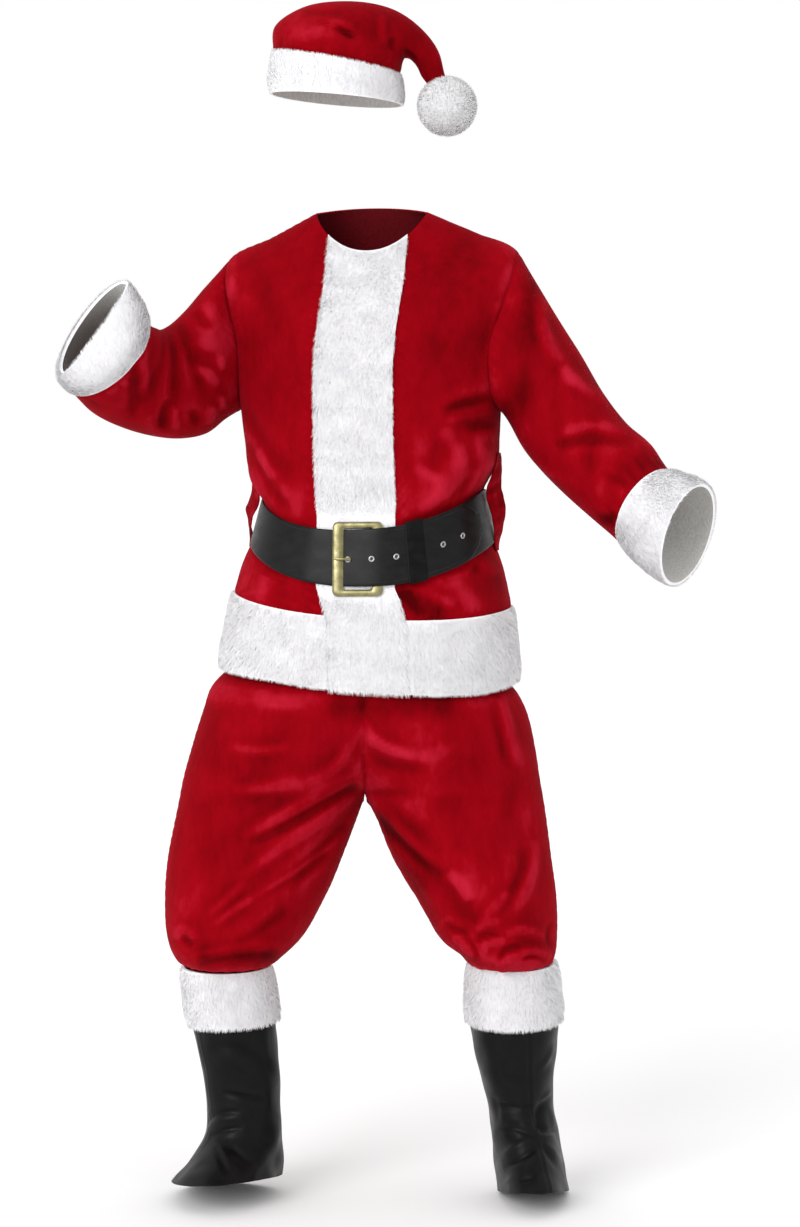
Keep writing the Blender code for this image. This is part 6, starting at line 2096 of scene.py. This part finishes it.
def keeper_section(turns, shape, low, high, drop):
    """Grid of the keeper's skin: its section goes round the strap, and its faces are lowered by drop."""
    margin, corner = shape
    bottom, top = -margin, 1 + margin
    half = np.linspace(-1, 1, KEEPER_FACE) * (top - bottom - 2 * corner) / 2 + 0.5
    rise = corner * STRAP_WIDE
    angle = np.linspace(0, pi / 2, KEEPER_CORNER + 2)[1:-1]
    sin, cos = np.sin(angle), np.cos(angle)
    section = [
        (half, high + 0 * half),
        (top - corner + corner * sin, high - rise + rise * cos),
        ([top, top], [high - rise, low + rise]),
        (top - corner + corner * cos, low + rise - rise * sin),
        (half[::-1], low + 0 * half),
        (bottom + corner - corner * sin, low + rise - rise * cos),
        ([bottom, bottom], [low + rise, high - rise]),
        (bottom + corner - corner * cos, high - rise + rise * sin),
    ]
    height, lift = (np.concatenate(part) for part in zip(*section))
    middle = (low + high) / 2
    inward = drop * np.sign(lift - middle) * (np.abs(lift - middle) > (high - middle) * KEEPER_FLAT)
    return belt_at(turns, height[None], lift[None] - inward)


def build_keeper():
    """A band round both layers of the strap, with rounded edges and an edge line like the strap's."""
    turns = np.linspace(turn_of(KEEPER_X[0]), turn_of(KEEPER_X[1]), KEEPER_ROWS)[:, None]
    share = np.abs(np.linspace(-1, 1, KEEPER_ROWS))[:, None]
    drop, run = KEEPER_ROUND
    deep, place, wide = KEEPER_LINE
    rounded = drop * np.exp(-(1 - share) / run) + deep * bell(share - place, wide)
    low, high = KEEPER_LOW, KEEPER_HIGH
    outer = keeper_section(turns, KEEPER_OUTER, low - KEEPER_WALL, high + KEEPER_WALL, rounded)
    inner = keeper_section(turns, KEEPER_INNER, low, high, 0 * rounded)
    keeper = shell("belt_keeper_cloth", outer, inner, KEEPER_LOOK, wrap=True)
    placed(keeper, "belt_cloth", "belt_keeper")


BUCKLE_CORNER = 9.0  # how rounded the frame's outer corners are
BUCKLE_HOLE_CORNER = 3.5
CORNER_STEPS = 7
SIDE_STEPS = 14


def rounded_frame(half_x, half_z, corner):
    """Points round a rectangle with rounded corners, a fixed number on each side and corner."""
    arcs = []
    for quarter, (side_x, side_z) in enumerate(((1, 1), (-1, 1), (-1, -1), (1, -1))):
        angle = np.linspace(0, pi / 2, CORNER_STEPS) + quarter * pi / 2
        arc_x = side_x * (half_x - corner) + corner * np.cos(angle)
        arc_z = side_z * (half_z - corner) + corner * np.sin(angle)
        arcs.append(np.stack([arc_x, arc_z], axis=-1))
    share = np.linspace(0, 1, SIDE_STEPS + 2)[1:-1, None]
    points = []
    for arc, following in zip(arcs, arcs[1:] + arcs[:1]):
        points += [arc, arc[-1] + (following[0] - arc[-1]) * share]
    return np.concatenate(points)


# The buckle's section, from its hole to its outer edge: how far across it, and how high.
Section = namedtuple("Section", "share rise")
BUCKLE_SECTION = rows(
    Section,
    (0.0, 0.3),
    (0.0, 1.0),
    (0.10, 2.0),
    (0.22, 2.75),
    (0.40, 3.0),
    (0.60, 3.0),
    (0.80, 2.6),
    (0.93, 1.8),
    (1.0, 0.9),
    (1.0, 0.1),
    (0.9, 0.0),
    (0.1, 0.0),
)


def build_buckle():
    """A rectangular frame with a rounded section: its left bar lies over the strap, its right one under."""
    ends = [
        belt_at(turn_of(sum(bar) / 2), MIDLINE, lift)
        for bar, lift in ((LEFT_BAR_X, ON_STRAP_LIFT), (PIVOT_X, UNDER_BAR_LIFT))
    ]
    middle = turn_of(BUCKLE_MIDDLE_X)
    rise = unit(belt_at(middle, 1, 0) - belt_at(middle, 0, 0))
    right = unit(ends[1] - ends[0])
    out = unit(np.cross(rise, right))
    out = out * -np.sign(out[1])
    between_bars = np.linalg.norm(ends[1] - ends[0]) / 2
    bar_half = (LEFT_BAR_X[1] - LEFT_BAR_X[0]) / 2
    inner_x, outer_x = between_bars - bar_half, between_bars + bar_half
    centre = (ends[0] + ends[1]) / 2
    rings = []
    for row in BUCKLE_SECTION:
        half_x = inner_x + (outer_x - inner_x) * row.share
        half_z = BUCKLE_INNER_HALF + (BUCKLE_OUTER_HALF - BUCKLE_INNER_HALF) * row.share
        corner = BUCKLE_HOLE_CORNER + (BUCKLE_CORNER - BUCKLE_HOLE_CORNER) * row.share
        flat = rounded_frame(half_x, half_z, corner)
        rings.append(centre + right * flat[:, :1] + rise * flat[:, 1:] + out * row.rise * BAR / 3)
    placed(looped("belt_buckle_metal", rings, GILT), "gilt", "belt_buckle")


PRONG_ROWS = 40
PRONG_SIDES = 16
PRONG_END = 0.35  # over how much of a station its ends are rounded, and how blunt they stay
PRONG_BLUNT = 0.04
PRONG_THIN = 0.3  # the least share of its thickness that is left at an end
PRONG_CAP = 0.05  # how small the rings that close its ends are


def shrunk(ring, share):
    """A ring drawn in round its middle."""
    middle = ring.mean(axis=0)
    return middle + (ring - middle) * share


def build_prong():
    """A tapered tongue with a rounded back and a blunt end, from the eyelet over the buckle's left bar."""
    last = len(PRONG) - 1
    share = np.linspace(0, last, PRONG_ROWS)
    x, lift, half = hermite(np.array(PRONG, float), np.arange(len(PRONG)), share).T
    end = np.clip(np.minimum(share, last - share) / PRONG_END, 0, 1)
    half = half * np.sqrt(np.clip(1 - (1 - end) ** 2, PRONG_BLUNT, 1))
    angle = np.arange(PRONG_SIDES) * 2 * pi / PRONG_SIDES
    height = MIDLINE + half[:, None] * np.cos(angle) / (2 * BUCKLE_INNER_HALF)
    thick = PRONG_WALL / 2 * np.clip(half / half.max(), PRONG_THIN, 1)
    out = lift[:, None] + PRONG_WALL / 2 + thick[:, None] * np.sin(angle)
    rings = belt_at(turn_of(x)[:, None], height, out)
    rings = np.array([shrunk(rings[0], PRONG_CAP), *rings, shrunk(rings[-1], PRONG_CAP)])
    number = np.arange(len(rings) * PRONG_SIDES).reshape(len(rings), PRONG_SIDES)
    beside = np.roll(number, -1, axis=1)
    faces = np.stack([number[:-1], beside[:-1], beside[1:], number[1:]], axis=-1).reshape(-1, 4)
    points = rings.reshape(-1, 3)
    prong = make_mesh("belt_prong_metal", points, facing_out(points, faces), GILT)
    placed(prong, "gilt", "belt_prong")


EYELET_SIDES = 36
EyeletRing = namedtuple("EyeletRing", "radius height")
EYELET_SECTION = rows(
    EyeletRing,
    (2.2, 0.4),
    (4.5, 0.3),
    (4.8, 0.5),
    (4.7, 0.85),
    (4.2, 1.15),
    (3.5, 1.3),
    (2.9, 1.2),
    (2.4, 0.8),
)
HOLE_LIFT = 0.12  # how far the black disc of painted shade in an eyelet's hole stands off the strap, and how wide it is
HOLE_RADIUS = 2.6
EYELET_AHEAD = 0.3  # how far off the places are that its plane is measured from, in degrees
EYELET_ABOVE = 0.05  # and as a share of the strap's width
EYELET_WALK = (80, 0.05)  # how far the free end is followed to place them, and in what steps, in degrees


def build_eyelets():
    """Small rings with a rounded section, one pitch apart along the free end, with a black disc of painted
    shade in each hole.
    """
    start = 360 + turn_of(EYELET_START_X)
    far, step = EYELET_WALK
    walk = np.arange(start, start + far, step)
    length = run_lengths(belt_at(walk, MIDLINE, FREE_LIFT))
    angle = np.arange(EYELET_SIDES) * 2 * pi / EYELET_SIDES
    around = np.arange(EYELET_SIDES) + 1
    hole_shade = np.stack([0 * around, around, np.roll(around, -1)], axis=-1)
    for number, index in enumerate(EYELETS, 1):
        name = f"belt_eyelet_{number}"
        turn = np.interp(index * EYELET_PITCH, length, walk)
        lift = np.interp(x_of(turn - 360), *np.array(FREE_END_LIFTS).T) + STRAP
        centre = belt_at(turn, MIDLINE, lift)
        right = unit(belt_at(turn + EYELET_AHEAD, MIDLINE, lift) - centre)
        rise = unit(belt_at(turn, MIDLINE + EYELET_ABOVE, lift) - centre)
        out = unit(np.cross(right, rise))
        out = out * np.sign(out.dot(belt_at(turn, MIDLINE, lift + 1) - centre))
        round_ = np.outer(np.cos(angle), right) + np.outer(np.sin(angle), rise)
        rings = [centre + row.radius * round_ + out * (row.height + SEAM_GAP) for row in EYELET_SECTION]
        placed(looped(f"{name}_metal", rings, NICKEL), "nickel", name)
        # a black disc of painted shade where the hole goes through
        disc = np.concatenate([[centre], centre + HOLE_RADIUS * round_]) + out * (HOLE_LIFT + SEAM_GAP)
        placed(make_mesh(f"{name}_hole", disc, hole_shade, THREAD_AND_HOLE_SHADE), "belt_cloth")


BeltLoop = namedtuple("BeltLoop", "up front back")  # how far each edge stands off the jacket
BELT_LOOP = rows(
    BeltLoop,
    (362, 1.2, 1.2),
    (350, 1.6, 4),
    (330, 3, 12),
    (310, 6, 24),
    (295, 9, 31),
    (250, 9, 25),
    (224, 8, 14),
    (206, 4, 5),
    (195, 1.2, 1.2),
)
LOOP_HALF_TURN = 5
LOOP_CLOTH = 2.0
LOOP_TURN = {"left": -2, "right": 182}
LOOP_STAND = {"left": 1.0, "right": 1.25}  # the right one stands further off
LOOP_COLUMNS = 10
LOOP_ROWS = 59
LOOP_BULGE = 1.6
LOOP_AHEAD = 1  # how far off the places are that its normals are measured from, in degrees
LOOP_ABOVE = 4  # and in millimetres
LOOP_SINK = 0.6  # how far the loop's cloth lies inside its run of edges
LOOP_SWELL = (0.5, 25)  # how far the loop swells, and how far apart its swells are
LOOP_PATCHES = (0.6, 20)  # how far its nap changes, and how far apart


def build_belt_loops():
    """A strip at each side that leaves the jacket above the belt and comes back below it."""
    up, front, back = np.array(BELT_LOOP, float).T
    fine = np.linspace(up[0], up[-1], LOOP_ROWS + 1)
    swell, swell_wave = LOOP_SWELL
    patchy, patch_wave = LOOP_PATCHES
    seed = SEEDS["loop"]
    for side, middle in LOOP_TURN.items():
        forward = LOOP_HALF_TURN if side == "left" else -LOOP_HALF_TURN
        edges = []
        for turn, lift in ((middle + forward, front), (middle - forward, back)):
            here = jacket_surface(turn + 0 * up, up)
            ahead = jacket_surface(turn + LOOP_AHEAD + 0 * up, up)
            above = jacket_surface(turn + 0 * up, up + LOOP_ABOVE)
            normal = unit(np.cross(ahead - here, above - here))
            normal = normal * np.sign(normal[:, :1] * here[:, :1])
            points = here + normal * LOOP_STAND[side] * lift[:, None]
            edges.append(hermite(points[::-1], up[::-1], fine[::-1])[::-1])
        share = np.linspace(0, 1, LOOP_COLUMNS + 1)[None, :, None]
        points = edges[0][:, None] * (1 - share) + edges[1][:, None] * share
        out = grid_normals(points, False)
        if (out[..., 0] * points[..., 0]).sum() < 0:
            out = -out
        run = np.sin(pi * (up[0] - fine) / (up[0] - up[-1]))[:, None]
        bulge = LOOP_BULGE * np.sin(pi * share[..., 0]) * run
        bulge = bulge + swell * wobble(points, swell_wave, seed)[..., 0]
        nap_and_shade = np.clip(patchy * wobble(points, patch_wave, seed + 1)[..., 0], -1, 1)
        outer = points + out * (LOOP_CLOTH - LOOP_SINK + bulge)[..., None]
        inner = points + out * (bulge - LOOP_SINK)[..., None]
        node = f"belt_loop_{side}"
        placed(shell(f"{node}_cloth", outer, inner, RED, nap_and_shade=nap_and_shade), "red_plush", node)


# ---------------------------------------------------------------- flat cloth

# Each piece of cloth, laid flat: its width and length in metres, its true area where it isn't a rectangle,
# and how it is held.
Flat = namedtuple("Flat", "node width length area held rests_on")
FLATS = rows(
    Flat,
    ("hat_crown", 0.60, 0.30, 0.085, "gathered", "hat_band"),
    ("hat_band", 0.62, 0.070, None, "stretched", ""),
    ("jacket_back", 0.60, 0.75, 0.33, "gathered", ""),
    ("jacket_front_left", 0.30, 0.75, 0.135, "gathered", ""),
    ("jacket_front_right", 0.30, 0.75, 0.13, "gathered", ""),
    ("jacket_sleeve_left", 0.56, 0.40, 0.19, "draped", ""),
    ("jacket_sleeve_right", 0.56, 0.40, 0.175, "draped", ""),
    ("placket", 0.124, 0.80, None, "hung", ""),
    ("cuff_left", 0.47, 0.10, None, "hung", "jacket_sleeve_left"),
    ("cuff_right", 0.43, 0.095, None, "hung", "jacket_sleeve_right"),
    ("hem_band_back", 0.66, 0.122, None, "hung", "jacket_back"),
    ("hem_band_left", 0.29, 0.122, None, "hung", "jacket_front_left"),
    ("hem_band_right", 0.29, 0.122, None, "hung", "jacket_front_right"),
    ("belt_loop_left", 0.035, 0.18, None, "hung", "jacket_front_left"),
    ("belt_loop_right", 0.035, 0.18, None, "hung", "jacket_front_right"),
    ("trouser_front_left", 0.37, 0.78, 0.25, "hung", "trouser_waistband"),
    ("trouser_back_left", 0.37, 0.78, 0.25, "hung", "trouser_waistband"),
    ("trouser_front_right", 0.37, 0.78, 0.25, "hung", "trouser_waistband"),
    ("trouser_back_right", 0.37, 0.78, 0.25, "hung", "trouser_waistband"),
    ("trouser_waistband", 0.90, 0.040, None, "gathered", ""),
    ("boot_top_left", 0.46, 0.40, 0.16, "draped", ""),
    ("boot_top_right", 0.46, 0.40, 0.16, "draped", ""),
    ("boot_band_left", 0.50, 0.096, None, "stretched", "boot_top_left"),
    ("boot_band_right", 0.50, 0.096, None, "stretched", "boot_top_right"),
    ("belt_strap", 1.27, 0.085, None, "stretched", ""),
    ("belt_keeper", 0.224, 0.027, None, "stretched", "belt_strap"),
)


def declare_cloth():
    """Gathers each piece's flat size, hold, what it lies on and its locks or stitches, but passes none of it
    on.
    """
    for row in FLATS:
        more = {"rests_on": [f"{row.rests_on}_cloth"]} if row.rests_on else {}
        if row.area:
            more["area"] = row.area
        others = [f"{row.node}_locks", f"{row.node}_stitches"]
        others = [bpy.data.objects[name] for name in others if name in bpy.data.objects]
        if others:
            more["with_pieces"] = others


# ---------------------------------------------------------------- camera, light and floor

GROUND = -1.5895
FLOOR_SIZE = 60
LENS = 91.97  # the focal length and the tilt that put the suit where the photo has it
CAMERA_TILT = 85.483
SENSOR = 36
PAPER = 0.93
WHITE_LIGHT = (1, 1, 1, 1)
KEY_FROM = (-1.6, -2.2, 1.3)
KEY_STRENGTH = 1.5
KEY_SPREAD = 35


def sun(name, place, strength, spread):
    """A soft distant light that shines from a place towards the model's middle."""
    light = bpy.data.lights.new(name, "SUN")
    light.energy = strength
    light.angle = radians(spread)
    lamp = bpy.data.objects.new(name, light)
    lamp.rotation_euler = (-Vector(place)).to_track_quat("-Z", "Y").to_euler()
    bpy.context.scene.collection.objects.link(lamp)


def set_stage():
    """A pale floor, white surroundings and a soft light from the upper left."""
    half = FLOOR_SIZE / 2
    points = np.array([(-half, -half, 0), (half, -half, 0), (half, half, 0), (-half, half, 0)]) / MM
    points[:, 2] += GROUND / MM
    paper = even("floor_paper", (PAPER, PAPER, PAPER), 0.95)
    make_mesh("floor", points, np.array([(0, 1, 2, 3)]), [paper])
    world = bpy.data.worlds.new("studio")
    world.use_nodes = True
    background = world.node_tree.nodes["Background"]
    background.inputs["Color"].default_value = WHITE_LIGHT
    background.inputs["Strength"].default_value = 1.0
    bpy.context.scene.world = world
    sun("key", KEY_FROM, KEY_STRENGTH, KEY_SPREAD)
    camera = bpy.data.objects.new("camera", bpy.data.cameras.new("camera"))
    camera.data.lens = LENS
    camera.data.sensor_width = SENSOR
    camera.data.sensor_fit = "AUTO"
    camera.location = np.array(CAMERA_AT) * MM
    camera.rotation_euler = (radians(CAMERA_TILT), 0, 0)
    bpy.context.scene.collection.objects.link(camera)
    bpy.context.scene.camera = camera
    bpy.context.scene.view_settings.view_transform = "Standard"


# ---------------------------------------------------------------- the suit


def main():
    build_hat()
    build_pompom()
    build_jacket()
    build_belt_loops()
    build_trousers()
    build_boot_tops()
    build_strap()
    build_keeper()
    build_buckle()
    build_prong()
    build_eyelets()
    declare_cloth()
    set_stage()


main()
